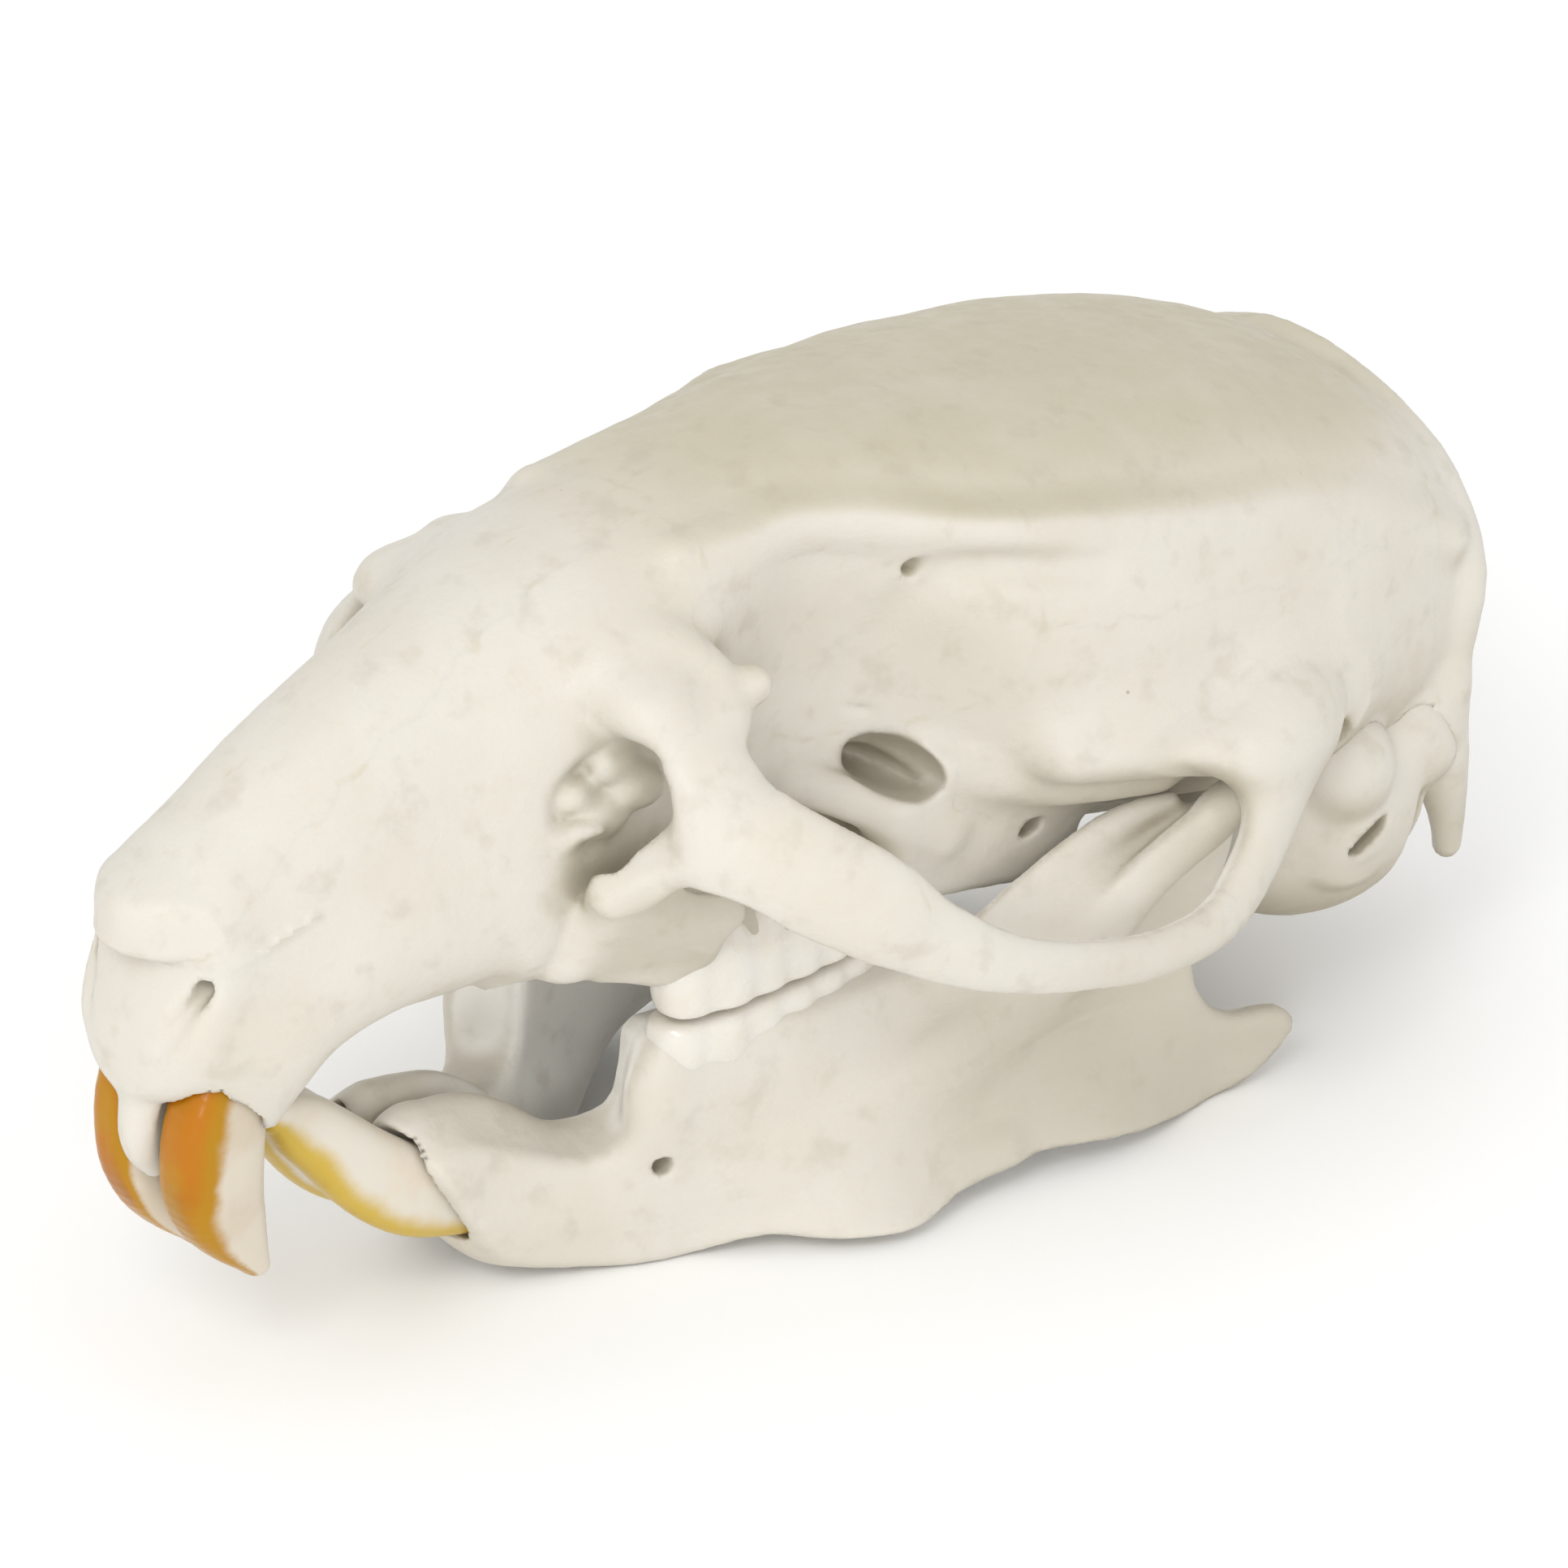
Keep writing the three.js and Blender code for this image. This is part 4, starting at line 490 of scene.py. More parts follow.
def openings(grid):
    """The opening before the eye with scrolls of bone in it, and the small holes of nerves and vessels."""
    grid.cut(Egg(13.9, 4.95, 15.7, 1.9, 1.35, 1.4, 0.2), 0.3)
    grid.cut(Egg(13.7, 5.0, 14.2, 0.6, 0.8, 0.6, 0, 0.2), 0.25)
    for x, w, z, r in SCROLLS:
        grid.join(Egg(x, w, z, r * 1.3, r, r), 0.4)
    grid.join(Bar([[12.6, 3.9, 14.5, 0.4], [13.2, 4.4, 14.75, 0.28], [13.6, 4.7, 14.8, 0.15]]), 0.3)
    grid.join(Bar([[13.4, 3.9, 10.8, 0.5], [13.6, 4.3, 11.8, 0.5], [13.8, 4.6, 12.5, 0.4]]), 0.5)
    grid.join(Egg(13.5, 3.5, 10.4, 0.9, 0.7, 0.55), 0.4)
    grid.cut(Egg(24.8, 4.3, 12.75, 1.35, 1.6, 0.8, -0.5), 0.25)
    grid.cut(Egg(25.0, 3.4, 12.35, 1.15, 1.7, 0.45, -0.5), 0.1)
    grid.cut(Egg(23.9, 3.9, 14.6, 0.6, 0.5, 0.14, -0.25), 0.1)
    grid.cut(Egg(29.3, 4.9, 9.7, 0.4, 0.8, 0.25, 0.4), 0.15)
    grid.cut(Egg(25.0, 5.0, 19.0, 0.3, 0.8, 0.3), 0.2)
    grid.cut(Egg(10.9, 0.95, 9.1, 3.9, 0.42, 1.2, -0.05), 0.3)


def snout_front(x, w, z):
    return 0.38 + w**2 * (0.12 + 0.03 * np.maximum(11 - z, 0)) + 0.35 * np.maximum(z - 11.3, 0) - x


def nose(grid):
    """The front of the snout with the nose openings, the nose bones and the bone between the teeth."""
    grid.meet(Formula((-5, 0, 0), (7, 14, 30), snout_front), 0.5)
    grid.cut(Bar([[2.6, 2.2, 13.4, 0.22], [1.5, 2.0, 12.6, 0.2], [0.75, 1.7, 11.6, 0.16],
                  [0.3, 1.4, 10.8, 0.1]]), 0.4)
    grid.cut(Egg(2.5, 2.05, 13.35, 1.1, 0.3, 0.26, 0.35), 0.15)
    grid.join(Both(Hull(NOSE), lambda x, w, z: 0.33 + 0.3 * w**2 - 0.05 * (14.4 - z) - x, 0.4), 0.3)
    grid.join(Bar([[2.2, 0, 10.2, 0.9, 1.1], [1.5, 0, 8.7, 0.72, 0.85], [1.35, 0, 7.7, 0.5, 0.6],
                   [1.7, 0, 6.95, 0.3, 0.35]]), 0.4)


def head(grid):
    grid.join(Hull(HEAD), 0.01)
    grid.join(Hull(SHELF), 1.2)
    grid.join(Bar(TOOTH_SHEATH), 1.2)
    for part in (cheek, temple, back_of_head, underside, openings, nose):
        part(grid)
    grid.cut(upper_tooth, 0.05, SOCKET_GAP)
    return grid


# The lower jaw.
JAW_MIDDLE = [[9, 1.2], [12, 1.4], [14.5, 2.1], [17, 3.1], [20, 3.9], [23, 4.5], [26, 5.05], [29, 5.75],
              [32, 6.5], [34, 7.0], [37.5, 7.6]]
JAW = [[11.2, 2.3], [12.4, 1.15], [14.6, 0.4], [16.4, 0.1], [17.6, 0.25], [19.1, 0.65], [20.6, 0.5],
       [22.8, 0.55], [25.4, 0.95], [28.2, 1.05], [31.2, 0.65], [33.8, 0.05], [35.8, 0.35], [37.3, 1.5],
       [36.8, 2.35], [35.2, 2.6], [34.2, 3.3], [33.7, 4.6], [33.9, 6.2], [34.5, 7.9], [34.6, 9.6],
       [33.4, 9.9], [32.2, 9.3], [31.0, 8.75], [29.4, 8.1], [27.6, 7.2], [25.8, 7.0], [23.4, 6.8],
       [20.0, 6.8], [17.0, 7.0], [16.6, 5.8], [16.2, 4.4], [14.6, 3.6], [12.6, 4.2], [11.0, 4.9], [10.0, 4.4]]


def jaw_middle(x, z):
    """Middle surface of a jaw half, which leans out at the back and flares along its lower edge."""
    flare = 0.75 * np.maximum(4 - z, 0) * smooth(17, 23, x) * (1 - smooth(29, 35, x))
    return along(JAW_MIDDLE, x)[..., 0] + 0.09 * (z - 4) * smooth(22, 28, x) + flare


def jaw_thick(x, z):
    return 1.05 - 0.63 * smooth(20, 26.5, x) + 0.12 * (1 - smooth(0.4, 1.6, z))


def jaw_front(x, w, z):
    return (8.55 + 0.62 * (5.9 - z) + 0.25 * (w - 1.2) - x) * 0.8


def jaw(grid):
    """A half of the lower jaw: a blade with the ridges of its body, its two processes and its joint."""
    grid.join(Blade(JAW, 3, jaw_middle, jaw_thick, 0.5), 0.01)
    grid.join(Bar([[10.3, 1.4, 3.8, 1.15, 1.75], [11.9, 1.5, 2.95, 1.15, 1.9], [14.6, 2.1, 2.1, 1.15, 1.65],
                   [18.0, 3.3, 2.2, 1.15, 1.6], [21.5, 5.1, 3.0, 1.0, 1.5], [25.0, 6.0, 4.0, 0.8, 1.5],
                   [28.0, 6.1, 5.2, 0.8, 1.5], [30.3, 6.6, 7.0, 0.5, 1.2]]), 0.9)
    grid.join(Bar([[17.4, 3.75, 5.3, 1.0, 1.9], [20.5, 4.0, 5.0, 1.3, 1.9], [23.6, 4.2, 5.1, 1.15, 1.7],
                   [25.6, 4.6, 5.5, 0.7, 1.3]]), 0.9)
    grid.join(Bar([[9.9, 0.75, 4.9, 0.7, 1.25], [11.2, 0.8, 4.2, 0.75, 1.75], [12.5, 0.9, 3.5, 0.8, 1.75],
                   [13.8, 1.2, 2.6, 0.8, 1.5], [15.6, 1.9, 2.1, 0.8, 1.2]]), 0.8)
    grid.join(Bar([[25.2, 5.3, 5.7, 0.45, 0.9], [26.8, 5.7, 7.0, 0.42, 0.9], [28.4, 6.0, 8.1, 0.4, 0.85],
                   [30.2, 6.35, 9.15, 0.36, 0.7], [31.6, 6.65, 9.75, 0.32, 0.5],
                   [32.8, 7.0, 10.0, 0.28, 0.28]]), 0.5)
    grid.join(Bar([[29.6, 6.9, 6.4, 0.45, 1.1], [31.5, 7.6, 8.35, 0.45, 0.85],
                   [33.2, 8.2, 9.6, 0.5, 0.75]]), 0.3)
    grid.join(Egg(34.1, 8.3, 10.1, 1.25, 0.72, 0.7, 0.25, 0.1), 0.4)
    grid.join(Bar([[18.7, 4.4, 2.4, 0.35, 0.4], [19.9, 5.1, 1.7, 0.4, 0.45], [21.6, 5.9, 1.35, 0.35, 0.4],
                   [24.0, 6.7, 1.3, 0.3, 0.35], [26.5, 7.1, 1.35, 0.25, 0.3]]), 0.7)
    grid.meet(Formula((5, 0, -1), (16, 11, 13), jaw_front), 0.3)
    grid.cut(Egg(16.4, 3.9, 3.3, 0.28, 0.7, 0.28), 0.2)
    grid.meet(Formula((5, -1, -2), (40, 1.2, 13), lambda x, w, z: 0.08 - w), 0.1)
    grid.cut(lower_tooth, 0.05, SOCKET_GAP)
    grid.meet(Formula((5, -1, -2), (40, 11, 1.2), lambda x, w, z: REST - z), 0.06)
    return grid


def molars(grid, level, half, side, up):
    """A row of molars at a level, moved sideways and ground off at the bite. up is -1 for the lower row."""
    for x, w, rx, rw in LOBES:
        grid.join(Egg(x, w + side, level, rx * 1.15, rw * 0.95, half), 0.6)
        grid.join(Egg(x, w + side + rw * 0.42, level, rx * 0.9, rw * 0.62, half * 1.05), 0.5)
    grid.meet(Formula((15, 0, 3), (27, 7, 12), lambda x, w, z: up * (BITE - z) + BITE_GAP), 0.3)
    return grid


# Where one bone ends and the next begins.
NASAL = [[-4, 12.6], [0.4, 13.4], [2.4, 14.4], [5, 16.5], [8, 18.3], [12, 19.7], [15.5, 20.6], [18.6, 20.9],
         [18.6, 30], [-4, 30]]
NASAL_TOP = [[-4, -2.75], [4, -2.5], [10, -2.1], [15, -1.7], [18.6, -1.3], [18.6, 1.3], [15, 1.7], [10, 2.1],
             [4, 2.5], [-4, 2.75]]
PREMAXILLA = [[-5, 2], [12.3, 2], [12.4, 11.8], [13.0, 14.6], [14.3, 17.0], [15.9, 18.9], [18.3, 20.4],
              [18.5, 30], [-5, 30]]
FRONTAL = [[10, 30], [10, 23.5], [18.6, 20.2], [18.6, 18.8], [19.4, 16.9], [20.6, 15.0], [22.4, 13.9],
           [24.6, 13.7], [26.4, 14.4], [27.6, 15.8], [28.0, 17.6], [27.3, 19.6], [27.0, 30]]
PARIETAL = [[20, 30], [25, 18.5], [27.9, 16.9], [33.0, 16.6], [38.3, 16.0], [38.3, 30]]
INTERPARIETAL = [[36, 30], [38, 16.1], [42.9, 15.6], [43.3, 17.0], [43.4, 30]]
OCCIPITAL = [[43.0, 30], [43.2, 17.2], [42.7, 15.4], [42.6, 11.6], [43.1, 9.8], [43.0, 2], [52, 2], [52, 30]]
SQUAMOSAL = [[26.2, 11.4], [28.0, 10.4], [44, 10.4], [44, 20], [26.2, 20]]
SQUAMOSAL_ARCH = [[26.2, 5], [36.6, 5], [36.6, 14], [26.2, 14]]
CHEEK = [[19.2, 15], [21.4, 5], [31.9, 5], [30.4, 12.4], [24, 13]]
BASE = [[36.4, -3.2], [44, -3.2], [44, 3.2], [36.4, 3.2]]
BASE_TOP, SQUAMOSAL_INNER, ARCH_INNER, CHEEK_INNER = 9.2, 4.8, 8.7, 8.8  # limits in z, and in w
MAXILLA = [[5, 2], [25.0, 2], [25.2, 20], [5, 20]]


def side_of(points, p):
    return outline_distance(points, p[:, 0], p[:, 2])


def regions(p):
    """Distances to the region of each bone, in the order in which the bones are taken out of the head."""
    w = np.abs(p[:, 1])
    top = outline_distance(NASAL_TOP, p[:, 0], p[:, 1])
    base = np.maximum(outline_distance(BASE, p[:, 0], p[:, 1]), p[:, 2] - BASE_TOP)
    squamosal = np.minimum(np.maximum(side_of(SQUAMOSAL, p), SQUAMOSAL_INNER - w),
                           np.maximum(side_of(SQUAMOSAL_ARCH, p), ARCH_INNER - w))
    return {
        "nasal_bones": np.maximum(side_of(NASAL, p), top),
        "premaxilla": side_of(PREMAXILLA, p),
        "cheekbone": np.maximum(side_of(CHEEK, p), CHEEK_INNER - w),
        "frontal_bones": side_of(FRONTAL, p),
        "parietal_bones": side_of(PARIETAL, p),
        "interparietal_bone": side_of(INTERPARIETAL, p),
        "occipital_bone": np.minimum(side_of(OCCIPITAL, p), base),
        "squamosal": squamosal,
        "maxilla": side_of(MAXILLA, p),
    }


# From fine skins to pieces.
def to_part(p, side=1):
    """Table coordinates to metres in the part's frame; side -1 is the animal's left."""
    return np.stack([p[:, 0] - MID_X, p[:, 1] * side, p[:, 2] - REST], 1) * MM


def new_mesh(name, points, quads, normals, values, material):
    mesh = bpy.data.meshes.new(name)
    mesh.vertices.add(len(points))
    mesh.vertices.foreach_set("co", points.astype(np.float32).ravel())
    mesh.loops.add(quads.size)
    mesh.loops.foreach_set("vertex_index", quads.astype(np.int32).ravel())
    mesh.polygons.add(len(quads))
    mesh.polygons.foreach_set("loop_start", np.arange(0, quads.size, 4, dtype=np.int32))
    mesh.update(calc_edges=True)
    mesh.validate()
    mesh.polygons.foreach_set("use_smooth", np.ones(len(mesh.polygons), bool))
    mesh.normals_split_custom_set_from_vertices(normals.astype(np.float32))
    for key, v in values.items():
        mesh.attributes.new(key, "FLOAT", "POINT").data.foreach_set("value", v.astype(np.float32))
    mesh.materials.append(material)
    piece = bpy.data.objects.new(name, mesh)
    bpy.context.scene.collection.objects.link(piece)
    return piece


def shell(points, quads, normals, values, thick):
    """The outer skin of a bone with an inner skin behind it and a wall along its edge."""
    used, local = np.unique(quads, return_inverse=True)
    q = local.reshape(quads.shape)
    n = len(used)
    edges = np.concatenate([q[:, [i, (i + 1) % 4]] for i in range(4)])
    key = edges[:, 0] * n + edges[:, 1]
    rim = edges[~np.isin(key, edges[:, 1] * n + edges[:, 0])]
    outer, normal = points[used], normals[used]
    if len(rim) == 0:
        return outer, q, normal, {k: v[used] for k, v in values.items()}
    inner = outer - normal * thick[used][:, None]
    walls = np.stack([rim[:, 1], rim[:, 0], rim[:, 0] + n, rim[:, 1] + n], 1)
    faces = np.concatenate([q, q[:, ::-1] + n, walls])
    return (np.concatenate([outer, inner]), faces, np.concatenate([normal, -normal]),
            {k: np.concatenate([v[used], v[used]]) for k, v in values.items()})


NARROW, WIDE = 0.45, 1.6  # reach of the look for crevices and for hollows


# The depths found here darken the colour as painted shade.
def hollows(grid, p, n):
    """How deep each point lies in a crevice and in a hollow, from -1 on an edge to 1 deep inside."""
    return [np.clip(1 - grid.at(p + n * reach) / reach, -1, 1) for reach in (NARROW, WIDE)]


def paint(p, n):
    """Where the bone is painted: a tan on the roof that is partly its own tint and partly painted shade;
    painted shade on the undersides, the back of the jaw and the plate under the cheek arch; and painted light
    that makes it pale, low on the inside.
    """
    (x, y, z), inward = p.T, -n[:, 1] * np.sign(p[:, 1])
    # The roof's tan where faces point up: partly the bone's own tint, partly painted shade.
    top = smooth(0.45, 0.95, n[:, 2]) * smooth(15, 22, x) * smooth(16.5, 19.0, z)
    # Painted shade on faces that point down, towards the back.
    painted_shade = smooth(-0.1, 0.75, -n[:, 2]) * smooth(24, 36, x)
    # Painted shade on the back of the jaw, low down.
    jaw_back_shade = 0.5 * smooth(19, 30, x) * smooth(8.5, 5, z)
    # Painted shade on the plate under the cheek arch.
    plate = smooth(12.9, 14.2, x) * smooth(21, 18, x) * smooth(9.2, 10.2, z) * smooth(13.9, 13.0, z)
    plate = 0.4 * plate * smooth(7.2, 6.6, np.abs(y))
    # Painted light: faces turned towards the middle, low down and behind the snout, are made pale and kept
    # clear of painted shade.
    inside = smooth(0.0, 0.5, inward) * smooth(11, 14, x) * smooth(11.5, 10, z)
    painted_shade = np.maximum(np.maximum(painted_shade, jaw_back_shade), plate) * (1 - inside * smooth(38, 34, x))
    return {"top": top, "painted_shade": painted_shade, "inside": inside}


# Materials.
class Graph:
    """Short names for the nodes of one material."""
    def __init__(self, name):
        self.mat = bpy.data.materials.new(name)
        self.mat.use_nodes = True
        self.nodes, self.links = self.mat.node_tree.nodes, self.mat.node_tree.links
        self.shader = self.nodes["Principled BSDF"]
        self.where = self.nodes.new("ShaderNodeTexCoord").outputs["Object"]

    def put(self, socket, value):
        if isinstance(value, bpy.types.NodeSocket):
            self.links.new(value, socket)
        else:
            socket.default_value = value

    def attr(self, name):
        node = self.nodes.new("ShaderNodeAttribute")
        node.attribute_name = name
        return node.outputs["Fac"]

    def math(self, kind, a, b):
        node = self.nodes.new("ShaderNodeMath")
        node.operation = kind
        self.put(node.inputs[0], a)
        self.put(node.inputs[1], b)
        return node.outputs[0]

    def stretch(self, scale):
        node = self.nodes.new("ShaderNodeMapping")
        node.inputs["Scale"].default_value = scale
        self.put(node.inputs["Vector"], self.where)
        return node.outputs[0]

    def noise(self, scale, detail=3.0, rough=0.55, where=None):
        node = self.nodes.new("ShaderNodeTexNoise")
        node.inputs["Scale"].default_value, node.inputs["Detail"].default_value = scale, detail
        node.inputs["Roughness"].default_value = rough
        self.put(node.inputs["Vector"], where or self.where)
        return node.outputs["Fac"]

    def cells(self, scale):
        node = self.nodes.new("ShaderNodeTexVoronoi")
        node.inputs["Scale"].default_value = scale
        self.put(node.inputs["Vector"], self.where)
        return node.outputs["Distance"]

    def span(self, value, lo, hi, to_lo=0.0, to_hi=1.0):
        node = self.nodes.new("ShaderNodeMapRange")
        node.interpolation_type = "SMOOTHSTEP"
        for i, v in enumerate((value, lo, hi, to_lo, to_hi)):
            self.put(node.inputs[i], v)
        return node.outputs[0]

    def mix(self, share, a, b):
        node = self.nodes.new("ShaderNodeMix")
        node.data_type = "RGBA"
        self.put(node.inputs["Factor"], share)
        for socket, v in ((node.inputs["A"], a), (node.inputs["B"], b)):
            self.put(socket, (*v, 1) if isinstance(v, tuple) else v)
        return node.outputs["Result"]

    def bump(self, height, distance, strength, below=None):
        node = self.nodes.new("ShaderNodeBump")
        node.inputs["Distance"].default_value, node.inputs["Strength"].default_value = distance, strength
        self.put(node.inputs["Height"], height)
        if below is not None:
            self.put(node.inputs["Normal"], below)
        return node.outputs["Normal"]

    def soften(self, weight, radius, depth):
        """Lets some light into the material."""
        self.shader.inputs["Subsurface Weight"].default_value = weight
        self.shader.inputs["Subsurface Radius"].default_value = radius
        self.shader.inputs["Subsurface Scale"].default_value = depth

    def glaze(self, weight, rough):
        self.shader.inputs["Coat Weight"].default_value = weight
        self.shader.inputs["Coat Roughness"].default_value = rough

    def finish(self, colour, rough, normal=None):
        self.put(self.shader.inputs["Base Color"], colour)
        self.put(self.shader.inputs["Roughness"], rough)
        if normal is not None:
            self.put(self.shader.inputs["Normal"], normal)
        return self.mat


# The darkest brown serves both for real stains and for painted shade; the palest colour is painted light; the
# roof colour is the roof's own tint with painted shade in it.
IVORY, BEIGE, STAIN_AND_SHADE = (0.645, 0.613, 0.545), (0.60, 0.557, 0.465), (0.37, 0.325, 0.235)
ROOF_TINT_AND_SHADE, PAINTED_LIGHT_PALE, SPECK, SUTURE = (0.51, 0.465, 0.35), (0.88, 0.86, 0.81), (0.30, 0.24, 0.14), (0.52, 0.45, 0.28)


def bone_material(name):
    """Ivory bone with beige clouds, a tan on the roof that is partly its own tint and partly painted shade,
    painted shade on the undersides and in hollows, painted light low on the inside, with specks, sutures and
    grain.
    """
    g = Graph(name)
    colour = g.mix(g.math("MULTIPLY", g.span(g.noise(200, 4), 0.35, 0.7), 0.6), IVORY, BEIGE)
    # Painted light: the pale colour low on the inside.
    colour = g.mix(g.attr("inside"), colour, PAINTED_LIGHT_PALE)
    # Roof tan, partly the bone's own tint and partly painted shade on faces that point up.
    cloudy = g.span(g.noise(340, 3), 0.2, 0.6, 0.75, 1.0)
    colour = g.mix(g.math("MULTIPLY", g.attr("top"), cloudy), colour, ROOF_TINT_AND_SHADE)
    # Painted shade on the undersides, the back of the jaw and the plate under the arch.
    colour = g.mix(g.math("MULTIPLY", g.attr("painted_shade"), 0.85), colour, STAIN_AND_SHADE)
    # Real stains, at random over the bone.
    colour = g.mix(g.math("MULTIPLY", g.span(g.noise(900, 3), 0.52, 0.75), 0.22), colour, STAIN_AND_SHADE)
    # Painted shade in hollows and in crevices.
    colour = g.mix(g.span(g.attr("far"), 0.35, 1.0, 0.0, 0.5), colour, STAIN_AND_SHADE)
    colour = g.mix(g.span(g.attr("near"), 0.3, 0.95, 0.0, 0.4), colour, STAIN_AND_SHADE)
    speck = g.math("MULTIPLY", g.span(g.cells(900), 0.07, 0.03), g.span(g.noise(300, 2), 0.64, 0.68))
    colour = g.mix(g.math("MULTIPLY", speck, 0.6), colour, SPECK)
    line = g.math("MULTIPLY", g.span(g.attr("seam"), 0.11, 0.02), g.span(g.noise(800, 2), 0.5, 0.68))
    colour = g.mix(g.math("MULTIPLY", line, 0.28), colour, SUTURE)
    grain = g.noise(2600, 4, 0.6, g.stretch((0.25, 1.0, 1.0)))
    fine = g.noise(6500, 3)
    lumps = g.noise(1300, 3)
    normal = g.bump(lumps, 0.00007, 0.5)
    normal = g.bump(grain, 0.00003, 0.6, normal)
    normal = g.bump(fine, 0.000012, 0.6, normal)
    g.soften(0.1, (1.0, 0.72, 0.45), 0.0003)
    g.shader.inputs["Specular IOR Level"].default_value = 0.4
    rough = g.span(g.noise(1500, 3), 0.3, 0.7, 0.42, 0.6)
    return g.finish(colour, rough, normal)


bone_skin = bone_material("bone")


def tooth_material(name, enamel, edge, dark, dentine, pink, begins, full):
    """Coloured enamel on the front of a gnawing tooth and pale dentine behind it. The enamel begins at one
    share of the way to the front, and is full at another."""
    g = Graph(name)
    front = g.math("ADD", g.attr("front"), g.span(g.noise(800, 3), 0, 1, -0.08, 0.08))
    colour = g.mix(g.span(g.noise(500, 3), 0.4, 0.65), enamel, edge)
    colour = g.mix(g.span(front, 0.72, 0.97), edge, colour)
    streaks = g.noise(1800, 3, 0.5, g.stretch((1.0, 1.0, 0.08)))
    colour = g.mix(g.math("MULTIPLY", g.span(streaks, 0.45, 0.7), 0.3), colour, edge)
    colour = g.mix(g.math("MULTIPLY", g.attr("tip"), g.span(front, 0.8, 1.0, 0.0, 0.75)), colour, dark)
    pale = g.mix(g.span(g.noise(400, 3), 0.4, 0.7), dentine, pink)
    colour = g.mix(g.span(front, begins, full), pale, colour)
    normal = g.bump(streaks, 0.00003, 0.6)
    normal = g.bump(g.noise(3500, 3), 0.00001, 0.6, normal)
    g.soften(0.1, (1.0, 0.6, 0.35), 0.0003)
    g.glaze(0.06, 0.15)
    g.shader.inputs["Specular IOR Level"].default_value = 0.25
    return g.finish(colour, g.span(front, 0.6, 0.75, 0.4, 0.28), normal)


orange = tooth_material("orange_enamel", (0.44, 0.15, 0.0), (0.41, 0.20, 0.0), (0.15, 0.055, 0.0),
                        (0.62, 0.56, 0.46), (0.57, 0.49, 0.38), 0.56, 0.74)
yellow = tooth_material("yellow_enamel", (0.47, 0.29, 0.0), (0.55, 0.38, 0.06), (0.30, 0.185, 0.005),
                        (0.66, 0.62, 0.54), (0.66, 0.57, 0.45), 0.45, 0.74)


def molar_material():
    g = Graph("molar_enamel")
    colour = g.mix(g.span(g.noise(800, 3), 0.35, 0.7), (0.72, 0.69, 0.63), (0.69, 0.65, 0.57))
    # Painted shade: darker brown in the crevices of the molars.
    colour = g.mix(g.span(g.attr("near"), 0.4, 0.95, 0.0, 0.5), colour, (0.55, 0.45, 0.28))
    normal = g.bump(g.noise(2200, 3), 0.00002, 0.5)
    g.soften(0.15, (1.0, 0.8, 0.6), 0.0004)
    g.glaze(0.5, 0.08)
    return g.finish(colour, g.span(g.noise(1200, 2), 0.3, 0.7, 0.2, 0.34), normal)


molar_skin = molar_material()


# Pieces.
def dress(piece, slot, *nodes):
    """Puts a piece on the body and hides the solids of the nodes that it stands for. The slot is not used."""
    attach(piece, "root")
    if nodes:
        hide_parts(*nodes)
    return piece


def lumpy(grid, points, seed, amount=0.03):
    """Small bumps and hollows that no two bones share, moved along the skin's direction."""
    n = grid.slope(points)
    broad, middle, fine = (noise(points, size, seed + i) for i, size in enumerate((2.6, 1.1, 0.45)))
    return points + n * (amount * (broad + 0.6 * middle + 0.35 * fine))[:, None], n


# The head, with both sides in one grid, and with room for the ear capsules.
half = head(Grid([-1.5, 0, 3.4], [49, 13.2, 23.6], CELL))
half.cut(Formula(*EAR_BOX, ear_at), 0.05, -0.12)
whole = half.mirrored()
points, quads = skin(whole)

# Each point belongs to the first bone whose region it lies in. The sutures wander, most of all on the roof.
wave = np.stack([noise(points, 0.55, seed) for seed in (11, 12, 13)], 1)
roof = smooth(19.0, 20.5, points[:, 2]) * smooth(21, 24, points[:, 0]) * (1 - smooth(31, 34, points[:, 0]))
bones = regions(points + (0.22 + 0.5 * roof)[:, None] * wave)
names = list(bones)
label = np.full(len(points), -1)
own = np.full(len(points), -FAR)
earlier = np.full(len(points), -FAR)
for i, name in enumerate(names):
    here = np.maximum(bones[name], earlier)
    take = (label < 0) & (bones[name] < 0)
    label[take], own[take] = i, here[take]
    earlier = np.maximum(earlier, -bones[name])
label[label < 0] = len(names)
own[label == len(names)] = earlier[label == len(names)]
seam = np.abs(own)
midline = np.abs(points[:, 1] + 0.14 * wave[:, 1])
halved = [names.index(n) for n in ("nasal_bones", "premaxilla", "frontal_bones", "parietal_bones", "maxilla")]
seam = np.where(np.isin(label, halved), np.minimum(seam, midline), seam)

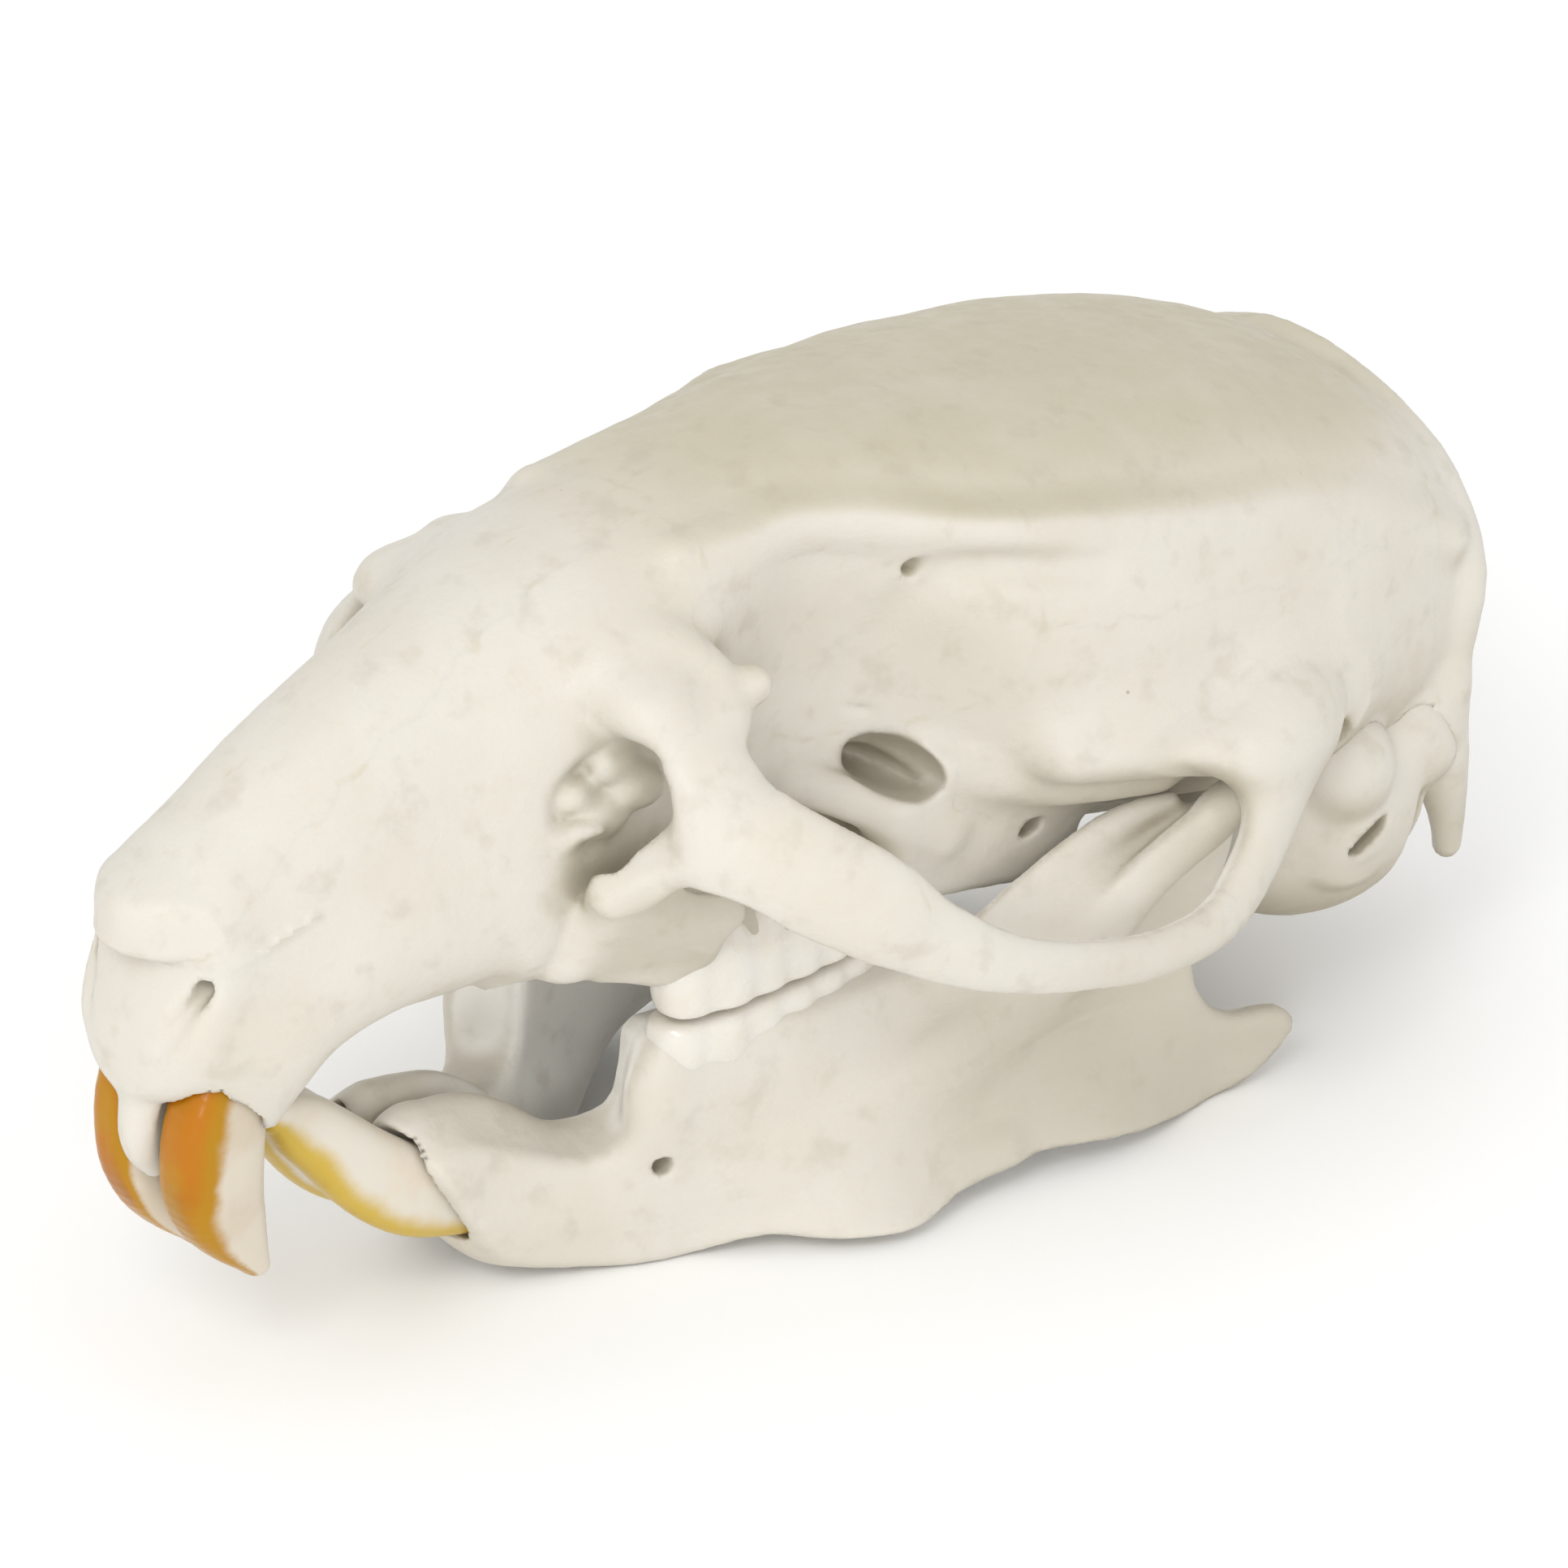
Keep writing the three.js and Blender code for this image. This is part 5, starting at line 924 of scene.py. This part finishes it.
# Small bumps, a shallow groove along the sutures, and the thickness of each bone's shell.
GROOVE_DEPTH, GROOVE_WIDTH = 0.018, 0.1
points, normals = lumpy(whole, points, 21)
near, far = hollows(whole, points, normals)
points = points - normals * (GROOVE_DEPTH * np.exp(-(seam / GROOVE_WIDTH)**2))[:, None]
depth = whole.at(points - normals * 0.5)
thick = np.clip(-0.42 * (depth - 0.02), 0.06, 0.3)
values = {"near": near, "far": far, "seam": seam, **paint(points, normals)}
quad_label = np.sort(label[quads], axis=1)[:, 1]
quad_side = points[quads][:, :, 1].mean(1)
names.append("sphenoid_bones")
SIDES = (("_left", -1), ("_right", 1))
for i, name in enumerate(names):
    for ending, side in SIDES if name in ("cheekbone", "squamosal", "maxilla") else (("", 0),):
        mine = quads[(quad_label == i) & (quad_side * side >= 0)]
        p, q, n, v = shell(points, mine, normals, values, thick)
        piece = new_mesh(name + ending, to_part(p), q, n, v, bone_skin)
        piece.name = "bone_" + name + ending
        dress(piece, "skull_bone", name + ending)


def pair(name, grid, slot, material, nodes, seed, extra=None, amount=0.03):
    """A piece for each side, made once and mirrored."""
    p, q = skin(grid)
    p, n = lumpy(grid, p, seed, amount)
    near, far = hollows(grid, p, n)
    v = {"near": near, "far": far, "seam": np.full(len(p), FAR), **paint(p, n)}
    if extra:
        v.update(extra(p))
    for ending, side in SIDES:
        faces = q if side > 0 else q[:, ::-1]
        piece = new_mesh(name + ending, to_part(p, side), faces, n * [1, side, 1], v, material)
        dress(piece, slot, *[node + ending for node in nodes])


pair("ear_bone", ear(Grid(*EAR_BOX, CELL)), "skull_bone", bone_skin, ["ear_capsule"], 31)
pair("jaw", jaw(Grid([8, -0.3, -0.4], [39, 10.6, 12.5], CELL)), "jaw_bone", bone_skin, ["mandible"], 41)


def front_of(table, sign):
    """Measures how far points are on the way from a gnawing tooth's back to its front, and to its tip."""
    line = finer(table, 8)

    def measure(p):
        d = ((p[:, None, :] - line[None, :, :3])**2).sum(2)
        i = np.argmin(d, 1)
        j, k = np.minimum(i + 1, len(line) - 1), np.maximum(i - 1, 0)
        run = line[j, :3] - line[k, :3]
        run /= np.linalg.norm(run, axis=1)[:, None]
        ahead = np.cross(run, [0, 1, 0]) * sign
        off = p - line[i, :3]
        tip = smooth(7.6, 4.4, p[:, 2])
        inner = smooth(0.3, 0.9, (line[i, 1] - p[:, 1]) / line[i, 3])
        front = 0.5 + 0.5 * (off * ahead).sum(1) / line[i, 4]
        return {"front": front - 0.3 * inner - 0.16 * tip, "tip": tip}
    return measure


upper = Grid([0.6, 0, 2.6], [6.5, 3.2, 13.6], TOOTH_CELL).join(upper_tooth, 0.01)
pair("upper_gnawing_tooth", upper, "orange_enamel", orange, ["upper_incisor"], 51,
     front_of(UPPER_TOOTH, -1), 0.01)
lower = Grid([4.2, -0.2, 1], [14.8, 3, 8.8], TOOTH_CELL).join(lower_tooth, 0.01)
pair("lower_gnawing_tooth", lower, "yellow_enamel", yellow, ["lower_incisor"], 61,
     front_of(LOWER_TOOTH, 1), 0.01)
upper = molars(Grid([16, 2, 6.5], [26, 6.5, 11], TOOTH_CELL), 8.7, 1.5, 0, 1)
pair("upper_molars", upper, "skull_bone", molar_skin, [], 71, None, 0.015)
lower = molars(Grid([16, 2, 4.5], [26, 6.5, 8.5], TOOTH_CELL), 6.8, 1.3, -0.25, -1)
pair("lower_molars", lower, "jaw_bone", molar_skin, [], 81, None, 0.015)

# Table, light and camera.
TABLE_HALF = 1.2
corners = [(x * TABLE_HALF, y * TABLE_HALF, 0) for x, y in ((-1, -1), (1, -1), (1, 1), (-1, 1))]
floor_mesh = bpy.data.meshes.new("table_top")
floor_mesh.from_pydata(corners, [], [(0, 1, 2, 3)])
floor = bpy.data.objects.new("table_top", floor_mesh)
bpy.context.scene.collection.objects.link(floor)
table = Graph("table_paint")
floor_mesh.materials.append(table.finish((0.96, 0.96, 0.955, 1), 0.7))


def toward(azimuth, elevation):
    """Direction to a place round the skull; azimuth 0 is on its left side."""
    a, e = math.radians(azimuth), math.radians(elevation)
    return Vector((math.sin(a) * math.cos(e), -math.cos(a) * math.cos(e), math.sin(e)))


def area_light(name, azimuth, elevation, distance, size, power):
    spot = toward(azimuth, elevation) * distance
    data = bpy.data.lights.new(name, "AREA")
    data.shape, data.size, data.energy = "DISK", size, power
    light = bpy.data.objects.new(name, data)
    light.location = spot
    light.rotation_euler = spot.to_track_quat("Z", "Y").to_euler()
    bpy.context.scene.collection.objects.link(light)


area_light("key", -60, 42, 0.5, 0.2, 0.55)
area_light("front_fill", -42, 20, 0.5, 0.12, 0.45)
world = bpy.data.worlds.new("studio")
bpy.context.scene.world = world
world.use_nodes = True
world.node_tree.nodes["Background"].inputs["Color"].default_value = (1, 1, 1, 1)
world.node_tree.nodes["Background"].inputs["Strength"].default_value = 0.95

AZIMUTH, ELEVATION, ROLL, DISTANCE = -42.5, 27.0, math.radians(0.3), 0.400
FOCAL_LENGTH, PHOTO_SIDE = 330.9, 1932
TARGET = Vector((-0.02, 0, 10.09)) * MM
back = toward(AZIMUTH, ELEVATION)
right = toward(AZIMUTH + 90, 0)
up = back.cross(right)
right, up = right * math.cos(ROLL) + up * math.sin(ROLL), up * math.cos(ROLL) - right * math.sin(ROLL)
lens = bpy.data.cameras.new("camera")
lens.sensor_width, lens.lens = 36, FOCAL_LENGTH
lens.shift_x, lens.shift_y = 22 / PHOTO_SIDE, 25 / PHOTO_SIDE
lens.clip_start, lens.clip_end = 0.05, 10
camera = bpy.data.objects.new("camera", lens)
turn = Matrix((right, up, back)).transposed().to_4x4()
camera.matrix_world = Matrix.Translation(TARGET + back * DISTANCE) @ turn
bpy.context.scene.collection.objects.link(camera)
bpy.context.scene.camera = camera
bpy.context.scene.view_settings.view_transform = "Standard"
